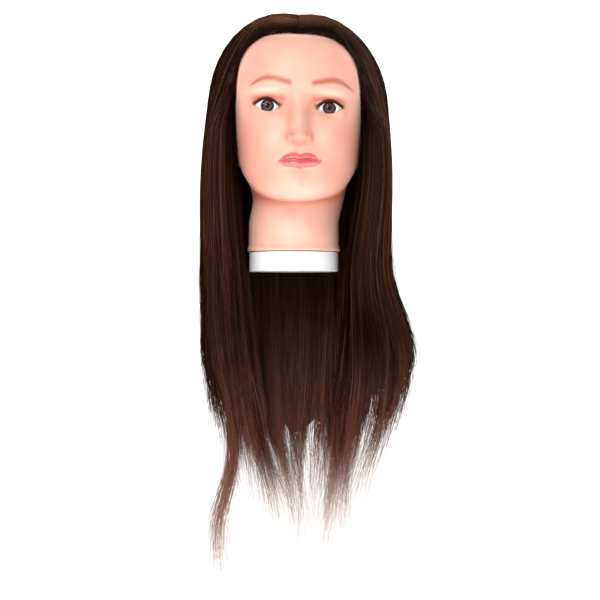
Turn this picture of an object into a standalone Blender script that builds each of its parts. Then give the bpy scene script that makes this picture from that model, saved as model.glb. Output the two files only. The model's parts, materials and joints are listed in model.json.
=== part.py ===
"""A salon training head: a soft moulded head skin over a foam core, acrylic eyes, a hard neck base
with a socket for a clamp's pin, and long implanted hair that hangs in sections.

Blender 4.5, metres, +Z up. The face looks along -Y. Left and right in names are the viewer's, so
left is -X. The origin is the middle of the neck base's underside, at the mouth of the socket.
Every length below is in millimetres until MM turns it into metres.
"""

import math

import bmesh
import bpy
import numpy as np
from mathutils import Vector

MM = 0.001
GAP = 0.35
WELD = 0.01
SHARP_DEG = 40
SIDES = (("left", -1), ("right", 1))

# ---- Neck base and socket -------------------------------------------------------------------
BASE_RADIUS = 50.0
BAND_HEIGHT = 21.6
BASE_WALL = 3.5
BASE_EDGE = 0.6
PLUG_RADIUS = 43.6
PLUG_TOP = 48.0
SOCKET_RADIUS = 15.5
SOCKET_TOP = 112.0
SOCKET_EDGE = 3.0
PIN_MOUTH_RADIUS = 12.5
PIN_LEAD_IN = (0.8, 1.5)
PIN_END_RADIUS = 11.0
PIN_DEPTH = 106.0
FLANGE_RADIUS = 22.0
FLANGE_BOTTOM = BASE_WALL + GAP
FLANGE_TOP = FLANGE_BOTTOM + 3.0
BASE_STEPS = 40
SOCKET_STEPS = 32

# ---- Head form ------------------------------------------------------------------------------
SKIN_WALL = 4.0
LINER_INSET = 5.8
LINER_WALL = 1.0
LINER_BELOW_HAIR = 4.0
LINER_NAPE_Z = 118.0
LINER_DROP_DEG = (50, 150)
CORE_INSET = 10.4
STEM_RADIUS = PLUG_RADIUS - BASE_WALL - 0.6
STEM_LEVELS = (FLANGE_TOP + 0.5, BAND_HEIGHT, PLUG_TOP + 2)
CAVITY_FOOT = 8.0
# The soft head sits SHIFT to +X of its neck, and leans over to that side by TILT_DEG.
SHIFT = 5.2
SHIFT_FROM, SHIFT_FULL = 52.0, 84.0
TILT_DEG = 2.4
TILT_FROM, TILT_FULL = 105.0, 165.0

# One row per ring of the head, from the neck's foot to the crown:
# front y, front z, side x, side y, side z, back y, back z, front squareness, front z exponent.
RINGS = np.array([
    (-51.0, 22.0, 51.0, 0, 22, 51.0, 22, 2.00, 1.00),
    (-49.5, 38.0, 50.6, 1, 40, 50.0, 42, 2.00, 1.00),
    (-48.0, 55.0, 50.4, 2, 60, 50.0, 62, 2.00, 1.00),
    (-49.5, 69.0, 51.0, 3, 76, 51.5, 80, 2.05, 1.00),
    (-62.0, 74.0, 53.0, 2, 87, 54.5, 96, 2.10, 1.00),
    (-77.5, 73.2, 57.5, 0, 98, 60.0, 110, 2.10, 1.10),
    (-87.5, 77.0, 62.0, 0, 109, 67.0, 124, 2.10, 1.00),
    (-91.5, 87.0, 65.5, 1, 120, 74.0, 137, 2.10, 0.90),
    (-91.0, 100.0, 68.0, 2, 131, 80.5, 150, 2.10, 0.85),
    (-90.5, 115.0, 69.5, 4, 144, 86.0, 162, 2.10, 0.85),
    (-88.5, 130.0, 71.0, 5, 156, 90.0, 174, 2.15, 0.90),
    (-85.0, 150.0, 72.5, 7, 171, 93.5, 189, 2.25, 0.95),
    (-82.5, 174.0, 74.0, 9, 188, 95.5, 203, 2.40, 1.00),
    (-85.0, 197.0, 74.5, 10, 205, 95.5, 218, 2.40, 1.00),
    (-83.0, 219.0, 73.5, 11, 223, 92.0, 233, 2.30, 1.00),
    (-76.0, 240.0, 69.5, 11, 241, 84.0, 248, 2.20, 1.00),
    (-64.0, 257.0, 60.0, 11, 257, 71.0, 261, 2.10, 1.00),
    (-45.0, 271.0, 44.0, 10, 270, 52.0, 272, 2.00, 1.00),
    (-22.0, 279.5, 24.0, 9, 279, 30.0, 279.5, 2.00, 1.00),
    (8.0, 283.0, 0.0, 8, 283, 8.0, 283, 2.00, 1.00),
])
TOP_RING = len(RINGS) - 1.0
CORE_FROM_RING = 2.4
# Ring positions of the mesh rows: close together over the eyes, nose and mouth.
SKIN_ROWS = np.concatenate([
    (0, 0.6, 1.3, 2, 2.6, 3, 3.5, 4, 4.5, 5, 5.4, 5.8, 6.2, 6.6, 7.0, 7.4),
    np.arange(7.8, 10.5, 0.22), np.arange(10.6, 13.4, 0.4), (13.9, 14.5, 15.2, 16, 17, 18, 19),
])
SKIN_COLUMNS = 52
INNER_ROWS = np.concatenate([[0.0], np.arange(0.8, 13.5, 0.8), (14.3, 15.2, 16, 17, 18, 19)])
INNER_COLUMNS = 31
LINER_ROWS, LINER_COLUMNS = 8, 27

# ---- Face -----------------------------------------------------------------------------------
EYE_X, EYE_Y, EYE_Z = 32.0, -60.5, 173.6
EYE_RADII = (17.0, 13.5, 14.0)
EYE_GAP = 0.9
CORE_EYE_GAP = 1.2
LID_WALL = 1.8
EYE_APERTURE_HALF = 14.5
LID_TOP, LID_BOTTOM = 8.2, 5.2
LID_TOP_ROUND, LID_BOTTOM_ROUND = 0.75, 0.9
APERTURE_REACH = (-30.0, -4.0)
IRIS_RADIUS = 6.9
IRIS_DEPTH = 3.4
IRIS_THICKNESS = 1.0
IRIS_RIM = 2.0
IRIS_DISH = (0.5, 0.2)
DOME_HOLLOW = 0.2
DOME_RISE, DOME_RIM_RISE = 0.45, 0.1
POCKET_REACH = 4.0
LASH_SHARE = 0.72
LASH_LENGTH = 3.6
LASH_THICKNESS = 0.5
LASH_STAND = 2.1
LASH_OUT, LASH_UP, LASH_FAN, LASH_TAPER = 0.9, 0.45, 0.12, 0.25
LID_REACH = 3.0

# Broad forms, the nose's wings and nostrils: height, distance from the middle, z, reach x, reach z.
FACE_FORMS = (
    (-7.0, 31, 178, 19, 12),
    (-4.0, 16, 174, 7, 9),
    (1.5, 30, 199, 22, 7),
    (2.0, 44, 150, 18, 15),
    (2.5, 0, 114, 27, 20),
    (-2.0, 0, 100, 16, 4.5),
    (2.0, 0, 84, 15, 9),
)
NOSE_FORMS = (
    (7.0, 10.8, 138.0, 4.6, 5.0),
    (-4.0, 6.0, 132.5, 3.0, 2.4),
)
# The bridge of the nose: z, height, half width.
NOSE_BRIDGE = np.array([
    (127, 0, 12), (130, 1.5, 12), (132.5, 7.5, 12), (136, 15.5, 11.5), (140, 19.5, 10.5),
    (144, 20, 9.5), (150, 17, 8.5), (158, 12.5, 8), (168, 7.5, 7.5), (177, 3.5, 7.5), (188, 0, 8),
])
NOSE_ROUND = 2.2
MOUTH_Z = 115.9
MOUTH_HALF = 22.0
# The two rolls of the lips: height, distance above the line between them, reach z, roundness.
LIP_ROLLS = (
    (4.2, 4.2, 3.6, 0.7),
    (5.0, -4.4, 4.0, 0.8),
)
LIP_GROOVE, LIP_GROOVE_REACH, LIP_GROOVE_PAST = 3.2, 1.1, 4.0
EAR_Y, EAR_Z = 16.0, 146.0
EAR_RADII = (15.0, 30.0)
EAR_HEIGHT = 11.0
EAR_LEAN = 0.18
EAR_BOWL = (0.55, -2.0, 4.0, 6.5, 13.0)

# ---- Hair -----------------------------------------------------------------------------------
HAIRLINE_Z = 253.0
HAIRLINE_CORNER = 17.0
TEMPLE_DEG = 57.0
CROWN_BOTTOM = 152.0
CROWN_SHARES = (0.2, 0.4, 0.6, 0.78, 0.92)
CORNER_ROWS_DEG = (20, 40, 58, 75, 90)
HAIR_CLEAR = 2.4
HAIR_EDGE, HAIR_EDGE_RISE = 3.0, 22.0
EAR_CLEAR = 13.0
# How deep the hair on the head is at each z.
HAIR_DEPTH_Z = (150, 180, 203, 225, 247, 270, 289)
HAIR_DEPTH = (29.4, 26.4, 20.4, 15.4, 10.9, 7.4, 4.4)
LEVEL_BELOW, LEVEL_ABOVE = 165, 225
SIDE_SPLIT_DEG = 101.0
BACK_GAP_DEG = 1.2
PART_DEG = 0.8

# Hanging sections, each a list of levels: z, centre x, centre y, half width x, half depth y.
SECTIONS = {
    "left_front_hair": [
        (152, -92, -17, 2, 27), (149, -92, -17, 7, 34), (141, -92, -17, 9, 36),
        (112, -92, -16, 9.5, 36), (90, -84, -15, 18, 35), (0, -79, -8, 25, 28),
        (-90, -77, 1, 26, 19), (-150, -72, 6, 20, 13), (-195, -69, 9, 13, 10), (-213, -68, 10, 6, 6),
    ],
    "right_front_hair": [
        (146.5, 101, -17, 2, 27), (143.5, 101, -17, 7, 34), (135.5, 101, -17, 9, 36),
        (112, 101, -16, 9.5, 36), (90, 93, -15, 18, 35), (0, 87, -8, 25, 28),
        (-50, 97, -4, 30, 22), (-95, 103, 1, 32, 18), (-150, 96, 5, 28, 14),
        (-210, 84, 8, 18, 11), (-255, 76, 10, 7, 6),
    ],
    "left_back_hair": [
        (152, -92, 52.5, 2, 26), (149, -92, 52.5, 7, 31.5), (141, -92, 52.5, 9, 32.5),
        (112, -92, 52.5, 10, 32.5), (90, -82, 52, 20, 32), (0, -77, 50, 26, 27),
        (-100, -74, 44, 25, 21), (-190, -64, 38, 17, 14), (-248, -56, 34, 6, 6),
    ],
    "right_back_hair": [
        (146.5, 101, 52.5, 2, 26), (143.5, 101, 52.5, 7, 31.5), (135.5, 101, 52.5, 9, 32.5),
        (112, 101, 52.5, 10, 32.5), (90, 91, 52, 20, 32), (0, 86, 50, 26, 27),
        (-80, 91, 44, 31, 21), (-170, 80, 38, 24, 15), (-235, 66, 34, 8, 6),
    ],
    "back_left_hair": [
        (148, -31, 107, 32, 2), (145, -31, 107, 35, 7), (137, -31, 107, 36, 10),
        (90, -31, 98, 36, 11), (0, -31, 94, 36, 15), (-100, -31, 82, 35, 15),
        (-200, -27, 68, 30, 13), (-285, -22, 56, 11, 6),
    ],
    "back_right_hair": [
        (148, 42, 107, 32, 2), (145, 42, 107, 35, 7), (137, 42, 107, 36, 10),
        (90, 42, 98, 36, 11), (0, 42, 94, 36, 15), (-100, 41, 82, 35, 15),
        (-200, 34, 68, 29, 13), (-275, 24, 56, 10, 6),
    ],
    "left_tail_lock": [
        (-217, -69, 10, 1.5, 1.5), (-219, -69, 10, 5, 4), (-224, -70, 10, 7, 6),
        (-250, -76, 10, 7.5, 6), (-285, -85, 10, 7, 5), (-320, -87, 10, 7, 4), (-356, -83, 10, 3, 2),
    ],
}
SECTION_SIDES = 12
SECTION_ROUND = 0.7

# Where each hanging lock swings: the point its hinge stands at, its parent hinge and its sections.
HINGES = {
    "left_hair_hinge": ((-92, 0, 141), None, ("left_front_hair", "left_back_hair")),
    "right_hair_hinge": ((101, 0, 135.5), None, ("right_front_hair", "right_back_hair")),
    "back_hair_hinge": ((0, 107, 137), None, ("back_left_hair", "back_right_hair")),
    "tail_lock_hinge": ((-69, 10, -215), "left_hair_hinge", ("left_tail_lock",)),
}


def smoothstep(low, high, value):
    """0 below low, 1 above high, smooth between them."""
    share = np.clip((value - low) / (high - low), 0.0, 1.0)
    return share * share * (3.0 - 2.0 * share)


def bump(x, z, centre_x, centre_z, reach_x, reach_z):
    """A soft round bump of height 1."""
    return np.exp(-(((x - centre_x) / reach_x) ** 2) - ((z - centre_z) / reach_z) ** 2)


def ring_values(t):
    """The ring table's columns at ring position t, by Catmull-Rom interpolation."""
    t = np.clip(t, 0.0, TOP_RING)
    first = np.clip(np.floor(t).astype(int), 0, len(RINGS) - 2)
    f = (t - first)[..., None]
    rows = [RINGS[np.clip(first + step, 0, len(RINGS) - 1)] for step in (-1, 0, 1, 2)]
    a, b, c, d = rows
    return 0.5 * (
        2 * b + (c - a) * f + (2 * a - 5 * b + 4 * c - d) * f**2 + (3 * b - a - 3 * c + d) * f**3
    )


def head_form(theta, t):
    """Points of the plain head, without features. theta is 0 at the front, + towards +X."""
    v = ring_values(t)
    front_y, front_z, side_x, side_y, side_z, back_y, back_z, square, drop = np.moveaxis(v, -1, 0)
    s, c = np.sin(theta), np.cos(theta)
    front = c >= 0
    power = np.where(front, 2.0 / square, 1.0)
    across = np.sign(s) * np.abs(s) ** power
    along = np.abs(c) ** power
    x = np.maximum(side_x, 0.0) * across
    y = side_y + np.where(front, front_y - side_y, back_y - side_y) * along
    lift = along ** np.where(front, drop, 1.0)
    z = side_z + np.where(front, front_z - side_z, back_z - side_z) * lift
    return np.stack([x, y, z], -1)


def bumps(rows, x, z):
    """The sum of soft bumps, each on both sides of the middle."""
    return sum(height * bump(np.abs(x), z, *place) for height, *place in rows)


def nose_relief(x, z):
    """How far the nose stands forward of the face."""
    levels, heights, widths = NOSE_BRIDGE.T
    height = np.interp(z, levels, heights)
    width = np.interp(z, levels, widths)
    return height * np.exp(-((np.abs(x) / width) ** NOSE_ROUND)) + bumps(NOSE_FORMS, x, z)


def lip_relief(x, z):
    """How far the lips stand forward: two rolls with a groove between them."""
    side = np.clip(1.0 - (np.abs(x) / MOUTH_HALF) ** 2, 0.0, 1.0)
    rolls = sum(
        height * side**roundness * np.exp(-(((z - MOUTH_Z - above) / reach) ** 2))
        for height, above, reach, roundness in LIP_ROLLS
    )
    line = np.exp(-(((z - MOUTH_Z) / LIP_GROOVE_REACH) ** 2)) * np.clip(side + 0.25, 0, 1)
    return rolls - LIP_GROOVE * line * (np.abs(x) < MOUTH_HALF + LIP_GROOVE_PAST)


def lid_surface(x, y, z):
    """y brought forward to the lids' ellipsoid over each eye."""
    radii = [r + EYE_GAP + LID_WALL for r in EYE_RADII]
    inside = 1.0 - ((np.abs(x) - EYE_X) / radii[0]) ** 2 - ((z - EYE_Z) / radii[2]) ** 2
    lid = np.where(inside > 0, EYE_Y - radii[1] * np.sqrt(np.maximum(inside, 0)), 1e3)
    return np.minimum(y, lid)


def ear_relief(y, z):
    """How far an ear stands out of the side of the head."""
    lean_back = EAR_LEAN * (z - EAR_Z)
    across = (y - EAR_Y - lean_back) / EAR_RADII[0]
    along = (z - EAR_Z) / EAR_RADII[1]
    disc = smoothstep(1.15, 0.75, np.sqrt(across**2 + along**2))
    depth, back, above, reach_y, reach_z = EAR_BOWL
    bowl = depth * bump(y, z, EAR_Y + back, EAR_Z + above, reach_y, reach_z)
    return EAR_HEIGHT * disc * (0.65 + 0.35 * np.clip(across, -1, 1)) * (1 - bowl)


def settled(points):
    """The soft head sits a little to +X on its neck, with that side's eye and temple lower."""
    x, y, z = np.moveaxis(points, -1, 0)
    drop = x * math.tan(math.radians(TILT_DEG)) * smoothstep(TILT_FROM, TILT_FULL, z)
    return np.stack([x + SHIFT * smoothstep(SHIFT_FROM, SHIFT_FULL, z), y, z - drop], -1)


def normals(form, theta, t):
    """Outward unit normals of form at (theta, t), from small steps each way."""
    step = 1e-3
    d_theta = form(theta + step, t) - form(theta - step, t)
    d_t = form(theta, np.minimum(t + step, TOP_RING)) - form(theta, np.maximum(t - step, 0))
    n = np.cross(d_theta, d_t)
    length = np.linalg.norm(n, axis=-1, keepdims=True)
    n = np.where(length > 1e-9, n / np.maximum(length, 1e-9), np.array([0.0, 0.0, 1.0]))
    return n


def carved(theta, t, fine=True):
    """The head with its broad face forms, and with nose, lips, lids and ears where fine is set."""
    p = head_form(theta, t)
    x, y, z = np.moveaxis(p, -1, 0)
    facing = smoothstep(0.15, 0.45, np.cos(theta))
    relief = bumps(FACE_FORMS, x, z)
    if fine:
        relief = relief + nose_relief(x, z) + lip_relief(x, z)
    y = y - facing * relief
    if fine:
        y = np.where(np.cos(theta) > 0.2, lid_surface(x, y, z), y)
        sideways = smoothstep(0.5, 0.8, np.abs(np.sin(theta)))
        x = x + np.sign(x) * sideways * ear_relief(y, z)
    return np.stack([x, y, z], -1)


def inset_form(theta, t, inset):
    """The head form without its fine features, moved in along its plain normals, then settled."""
    return settled(carved(theta, t, fine=False) - inset * normals(head_form, theta, t))


def front_dense_angles(count):
    """count angles once round the head, from the back, closest together at the face."""
    s = np.linspace(-1.0, 1.0, count + 1)
    return math.pi * (0.3 * s + 0.7 * s**3)


# ---- Blender helpers ------------------------------------------------------------------------

def clear_scene():
    for obj in list(bpy.data.objects):
        bpy.data.objects.remove(obj)


def new_collection(name):
    collection = bpy.data.collections.new(name)
    bpy.context.scene.collection.children.link(collection)
    return collection


def material(name, colour, roughness, transmission=0.0):
    made = bpy.data.materials.new(name)
    made.use_nodes = True
    shader = made.node_tree.nodes["Principled BSDF"]
    shader.inputs["Base Color"].default_value = (*colour, 1.0)
    shader.inputs["Roughness"].default_value = roughness
    shader.inputs["Transmission Weight"].default_value = transmission
    return made


def object_from(bm, name, collection, finish=None):
    bmesh.ops.recalc_face_normals(bm, faces=bm.faces)
    mesh = bpy.data.meshes.new(name)
    bm.to_mesh(mesh)
    bm.free()
    mesh.shade_smooth()
    mesh.set_sharp_from_angle(angle=math.radians(SHARP_DEG))
    obj = bpy.data.objects.new(name, mesh)
    collection.objects.link(obj)
    if finish is not None:
        mesh.materials.append(finish)
    return obj


def add_grid(bm, points):
    """A sheet of quads through points[row][column], all in millimetres. Returns its vertices."""
    rows = [[bm.verts.new(p * MM) for p in row] for row in points]
    for low, high in zip(rows, rows[1:]):
        for i in range(len(low) - 1):
            bm.faces.new((low[i], low[i + 1], high[i + 1], high[i]))
    return rows


def weld(bm):
    """Joins seams and poles, and drops the faces that they flatten."""
    bmesh.ops.remove_doubles(bm, verts=bm.verts, dist=WELD * MM)
    bmesh.ops.dissolve_degenerate(bm, edges=bm.edges, dist=WELD * MM / 10)


def close_up(bm):
    """Joins seams and poles, and fills any flat end that is left open."""
    weld(bm)
    bmesh.ops.holes_fill(bm, edges=[e for e in bm.edges if e.is_boundary], sides=0)


def closed_form(name, points, collection, finish=None):
    """A closed solid from rings of points, its last ring a pole and its first ring capped flat."""
    bm = bmesh.new()
    add_grid(bm, points)
    close_up(bm)
    return object_from(bm, name, collection, finish)


def rim_of(rows):
    """The vertices round the edge of a sheet, in order."""
    right = [row[-1] for row in rows[1:]]
    left = [row[0] for row in rows[-2:0:-1]]
    return rows[0] + right + rows[-1][-2::-1] + left


def shell_patch(name, inner, outer, collection, finish):
    """A closed solid between two sheets of points that cover the same patch."""
    bm = bmesh.new()
    rim_in = rim_of(add_grid(bm, inner))
    rim_out = rim_of(add_grid(bm, outer))
    for i, vert in enumerate(rim_in):
        bm.faces.new((rim_in[i - 1], vert, rim_out[i], rim_out[i - 1]))
    weld(bm)
    return object_from(bm, name, collection, finish)


def turned(name, profile, collection, finish=None, steps=BASE_STEPS):
    """A solid of revolution about Z from a closed profile of (radius, z), by a Screw modifier."""
    following = profile[1:] + profile[:1]
    area = sum(r0 * z1 - r1 * z0 for (r0, z0), (r1, z1) in zip(profile, following))
    if area > 0:
        profile = profile[::-1]
    bm = bmesh.new()
    verts = [bm.verts.new((r * MM, 0.0, z * MM)) for r, z in profile]
    closed = all(r > 0 for r, _ in profile)
    pairs = list(zip(verts, verts[1:])) + ([(verts[-1], verts[0])] if closed else [])
    for a, b in pairs:
        bm.edges.new((a, b))
    mesh = bpy.data.meshes.new(name)
    bm.to_mesh(mesh)
    bm.free()
    obj = bpy.data.objects.new(name, mesh)
    collection.objects.link(obj)
    screw = obj.modifiers.new("turn", "SCREW")
    screw.steps = screw.render_steps = steps
    screw.use_merge_vertices = True
    screw.merge_threshold = WELD * MM
    if finish is not None:
        mesh.materials.append(finish)
    return obj


def cut(obj, cutter):
    """Takes cutter out of obj with a Boolean."""
    cutter.hide_render = True
    cutter.display_type = "WIRE"
    modifier = obj.modifiers.new("cut_" + cutter.name, "BOOLEAN")
    modifier.operation = "DIFFERENCE"
    modifier.object = cutter


def ellipsoid(name, radii, collection, finish=None, segments=20, rings=12):
    """An ellipsoid whose poles are on Y, so that its front is evenly meshed."""
    bm = bmesh.new()
    bmesh.ops.create_uvsphere(bm, u_segments=segments, v_segments=rings, radius=1.0)
    for v in bm.verts:
        x, y, z = v.co
        v.co = (x * radii[0] * MM, z * radii[1] * MM, -y * radii[2] * MM)
    return object_from(bm, name, collection, finish)


# ---- The pieces -----------------------------------------------------------------------------

def make_base(parts, plastic, socket_plastic):
    """The neck base, a band with a plug above it, and the socket tube that stands in it."""
    inner = PLUG_RADIUS - BASE_WALL
    band_inner = BASE_RADIUS - BASE_WALL
    hole = SOCKET_RADIUS + GAP
    turned("neck_base", [
        (hole, 0), (BASE_RADIUS - BASE_EDGE, 0), (BASE_RADIUS, BASE_EDGE),
        (BASE_RADIUS, BAND_HEIGHT - BASE_EDGE), (BASE_RADIUS - BASE_EDGE, BAND_HEIGHT),
        (PLUG_RADIUS, BAND_HEIGHT), (PLUG_RADIUS, PLUG_TOP), (inner, PLUG_TOP),
        (inner, BAND_HEIGHT - BASE_WALL), (band_inner, BAND_HEIGHT - 2 * BASE_WALL),
        (band_inner, BASE_WALL), (hole, BASE_WALL),
    ], parts, plastic)
    wider, deep = PIN_LEAD_IN
    turned("pin_socket", [
        (0, SOCKET_TOP), (SOCKET_RADIUS - SOCKET_EDGE, SOCKET_TOP),
        (SOCKET_RADIUS, SOCKET_TOP - SOCKET_EDGE), (SOCKET_RADIUS, FLANGE_TOP),
        (FLANGE_RADIUS, FLANGE_TOP), (FLANGE_RADIUS, FLANGE_BOTTOM), (SOCKET_RADIUS, FLANGE_BOTTOM),
        (SOCKET_RADIUS, 0), (PIN_MOUTH_RADIUS + wider, 0), (PIN_MOUTH_RADIUS, deep),
        (PIN_END_RADIUS, PIN_DEPTH), (0, PIN_DEPTH),
    ], parts, socket_plastic, steps=SOCKET_STEPS)


def place_at_eye(obj, sign, facing=False):
    """Puts an eye piece or cutter at its eye, with the head's tilt. facing lays its Z along -Y."""
    obj.location = settled(np.array([sign * EYE_X, EYE_Y, EYE_Z])) * MM
    obj.rotation_euler = (math.pi / 2 if facing else 0.0, math.radians(TILT_DEG), 0.0)


def lid_edge(s, rise, roundness):
    """Height of a lid's edge over the eye's middle, s from -1 to 1 across the opening."""
    return rise * (1 - s * s) ** roundness


def aperture_cutter(name, sign, collection):
    """The almond opening between the lids, as a bar along Y."""
    steps = np.linspace(-1.0, 1.0, 13)
    upper = [(s, lid_edge(s, LID_TOP, LID_TOP_ROUND)) for s in steps]
    lower = [(s, -lid_edge(s, LID_BOTTOM, LID_BOTTOM_ROUND)) for s in steps[-2:0:-1]]
    start, end = APERTURE_REACH
    bm = bmesh.new()
    outline = [bm.verts.new((s * EYE_APERTURE_HALF * MM, start * MM, z * MM)) for s, z in upper + lower]
    made = bmesh.ops.extrude_face_region(bm, geom=[bm.faces.new(outline)])
    moved = [v for v in made["geom"] if isinstance(v, bmesh.types.BMVert)]
    bmesh.ops.translate(bm, verts=moved, vec=(0, (end - start) * MM, 0))
    obj = object_from(bm, name, collection)
    place_at_eye(obj, sign)
    return obj


def make_iris(side, sign, parts, finish):
    """The printed button behind the dome, dished in front. Returns how far its rim is from the eye's
    middle."""
    back = EYE_RADII[1] - IRIS_DEPTH + GAP
    front = back + IRIS_THICKNESS
    middle_dish, rim_dish = IRIS_DISH
    iris = turned(f"{side}_iris", [
        (0, front - middle_dish), (IRIS_RADIUS - IRIS_RIM, front - rim_dish),
        (IRIS_RADIUS, front), (IRIS_RADIUS, back), (0, back),
    ], parts, finish, steps=20)
    place_at_eye(iris, sign, facing=True)
    return front


def make_cornea(side, sign, iris_front, parts, finish):
    """The clear dome over the iris."""
    rim = EYE_RADII[1] * math.sqrt(1 - (IRIS_RADIUS / EYE_RADII[2]) ** 2) + DOME_RIM_RISE
    rise = EYE_RADII[1] + DOME_RISE - rim
    arc = [(IRIS_RADIUS * math.sin(a), rim + rise * math.cos(a))
           for a in np.linspace(0, math.pi / 2, 6)]
    back = iris_front + GAP
    dome = turned(f"{side}_cornea", arc + [
        (IRIS_RADIUS, back + DOME_HOLLOW), (IRIS_RADIUS - IRIS_RIM, back), (0, back - DOME_HOLLOW),
    ], parts, finish, steps=20)
    place_at_eye(dome, sign, facing=True)


def make_eye(side, sign, parts, cutters, finishes):
    """White shell, iris button and clear dome. Returns the cutters for skin and core."""
    white = ellipsoid(f"{side}_eye_white", EYE_RADII, parts, finishes["eye_white"])
    reach = EYE_RADII[1] + POCKET_REACH
    floor = EYE_RADII[1] - IRIS_DEPTH
    radius = IRIS_RADIUS + GAP
    pocket = turned(f"{side}_iris_pocket", [(0, reach), (radius, reach), (radius, floor), (0, floor)],
                    cutters, steps=24)
    place_at_eye(pocket, sign, facing=True)
    cut(white, pocket)
    iris_front = make_iris(side, sign, parts, finishes["iris"])
    make_cornea(side, sign, iris_front, parts, finishes["cornea"])
    hollow = ellipsoid(f"{side}_eye_hollow", [r + EYE_GAP for r in EYE_RADII], cutters)
    core_hollow = ellipsoid(f"{side}_core_hollow", [r + CORE_EYE_GAP for r in EYE_RADII], cutters)
    for obj in (white, hollow, core_hollow):
        place_at_eye(obj, sign)
    return [hollow, aperture_cutter(f"{side}_aperture", sign, cutters)], core_hollow


def make_lashes(parts, finish):
    """An upper lash strip on each side: a thin curved fin in front of the lid's edge."""
    s = np.linspace(-LASH_SHARE, LASH_SHARE, 11)
    edge_z = EYE_Z + lid_edge(s, LID_TOP, LID_TOP_ROUND)
    reach = EYE_RADII[1] + EYE_GAP + LID_WALL + LASH_STAND
    inside = 1 - (s * EYE_APERTURE_HALF / (EYE_RADII[0] + LID_REACH)) ** 2
    inside = inside - ((edge_z - EYE_Z) / (EYE_RADII[2] + LID_REACH)) ** 2
    edge_y = EYE_Y - reach * np.sqrt(inside)
    long = LASH_LENGTH * (1 - LASH_TAPER * s * s)
    for side, sign in SIDES:
        root = np.stack([sign * EYE_X + s * EYE_APERTURE_HALF, edge_y, edge_z], -1)
        tip = root + long[:, None] * np.stack([LASH_FAN * s, np.full_like(s, -LASH_OUT),
                                               np.full_like(s, LASH_UP)], -1)
        strip = np.stack([root, tip])
        thick = np.array([0.0, 0.0, LASH_THICKNESS])
        shell_patch(f"{side}_lashes", settled(strip), settled(strip + thick), parts, finish)


def hairline_z(theta):
    """Lowest z of hair at each angle, on the face side a level line with round corners."""
    share = np.clip(np.abs(theta) / math.radians(TEMPLE_DEG), 0, 1)
    return HAIRLINE_Z - HAIRLINE_CORNER * (1 - np.sqrt(1 - share**2))


def front_edge(z):
    """The angle where the hair begins, at height z."""
    rise = np.clip((z - (HAIRLINE_Z - HAIRLINE_CORNER)) / HAIRLINE_CORNER, 0, 1)
    return math.radians(TEMPLE_DEG) * np.sqrt(1 - rise**2)


def t_at_height(z, theta):
    """The ring position at which the head reaches height z at angle theta."""
    t = np.linspace(0, TOP_RING, 400)
    heights = head_form(np.full_like(t, theta), t)[:, 2]
    return np.interp(z, np.maximum.accumulate(heights), t)


def make_skin(parts, cutters, finish, openings):
    """The soft skin: the carved head, with the core's room and the eyes' openings cut from it."""
    theta, t = np.meshgrid(front_dense_angles(SKIN_COLUMNS), SKIN_ROWS)
    skin = closed_form("head_skin", settled(carved(theta, t)), parts, finish)
    around = np.linspace(-math.pi, math.pi, INNER_COLUMNS)
    theta, t = np.meshgrid(around, INNER_ROWS)
    inner = inset_form(theta, t, SKIN_WALL)
    foot = inner[:1] - np.array([0.0, 0.0, CAVITY_FOOT])
    cut(skin, closed_form("skin_cavity", np.concatenate([foot, inner]), cutters))
    for opening in openings:
        cut(skin, opening)


def make_core(parts, cutters, finish, hollows):
    """The foam core, with a stem down into the neck base and a bore for the socket tube."""
    around = np.linspace(-math.pi, math.pi, INNER_COLUMNS)
    theta, t = np.meshgrid(around, INNER_ROWS[INNER_ROWS > CORE_FROM_RING])
    upper = inset_form(theta, t, CORE_INSET)
    across, along = np.sin(around) * STEM_RADIUS, -np.cos(around) * STEM_RADIUS
    stem = [np.stack([across, along, np.full_like(around, z)], -1) for z in STEM_LEVELS]
    core = closed_form("foam_core", np.concatenate([stem, upper]), parts, finish)
    bore, top = SOCKET_RADIUS + GAP, SOCKET_TOP + GAP
    cut(core, turned("socket_bore", [(0, top), (bore, top), (bore, 1), (0, 1)], cutters,
                     steps=SOCKET_STEPS))
    for hollow in hollows:
        cut(core, hollow)


def make_liner(parts, finish):
    """The thin cap inside the skin that the hair's roots are set in."""
    around = np.linspace(-math.pi, math.pi, LINER_COLUMNS)
    drop = smoothstep(*np.radians(LINER_DROP_DEG), np.abs(around))
    low_z = (hairline_z(around) - LINER_BELOW_HAIR) * (1 - drop) + LINER_NAPE_Z * drop
    lows = np.array([t_at_height(z, angle) for z, angle in zip(low_z, around)])
    v = np.linspace(0, 1, LINER_ROWS)[:, None]
    t = lows * (1 - v) + TOP_RING * v
    bm = bmesh.new()
    add_grid(bm, inset_form(np.broadcast_to(around, t.shape), t, LINER_INSET))
    weld(bm)
    liner = object_from(bm, "scalp_liner", parts, finish)
    solidify = liner.modifiers.new("thickness", "SOLIDIFY")
    solidify.thickness = LINER_WALL * MM
    solidify.offset = -1.0


def hair_layer(theta, t, outer):
    """The inside or outside of the hair on the head, its thickness level low down, where it hangs."""
    p = head_form(theta, t)
    n = normals(head_form, theta, t)
    y, z = p[..., 1], p[..., 2]
    n[..., 2] *= smoothstep(LEVEL_BELOW, LEVEL_ABOVE, z)
    n = n / np.linalg.norm(n, axis=-1, keepdims=True)
    if outer:
        edge = smoothstep(-0.05, 0.35, np.abs(theta) - front_edge(z))
        edge = np.maximum(edge, smoothstep(HAIRLINE_Z, HAIRLINE_Z + HAIR_EDGE_RISE, z))
        stand = HAIR_EDGE + (np.interp(z, HAIR_DEPTH_Z, HAIR_DEPTH) - HAIR_EDGE) * edge
    else:
        stand = EAR_CLEAR * smoothstep(200, 178, z) * smoothstep(-20, 5, y) * smoothstep(62, 40, y)
    return settled(p + n * (HAIR_CLEAR + stand)[..., None])


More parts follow.
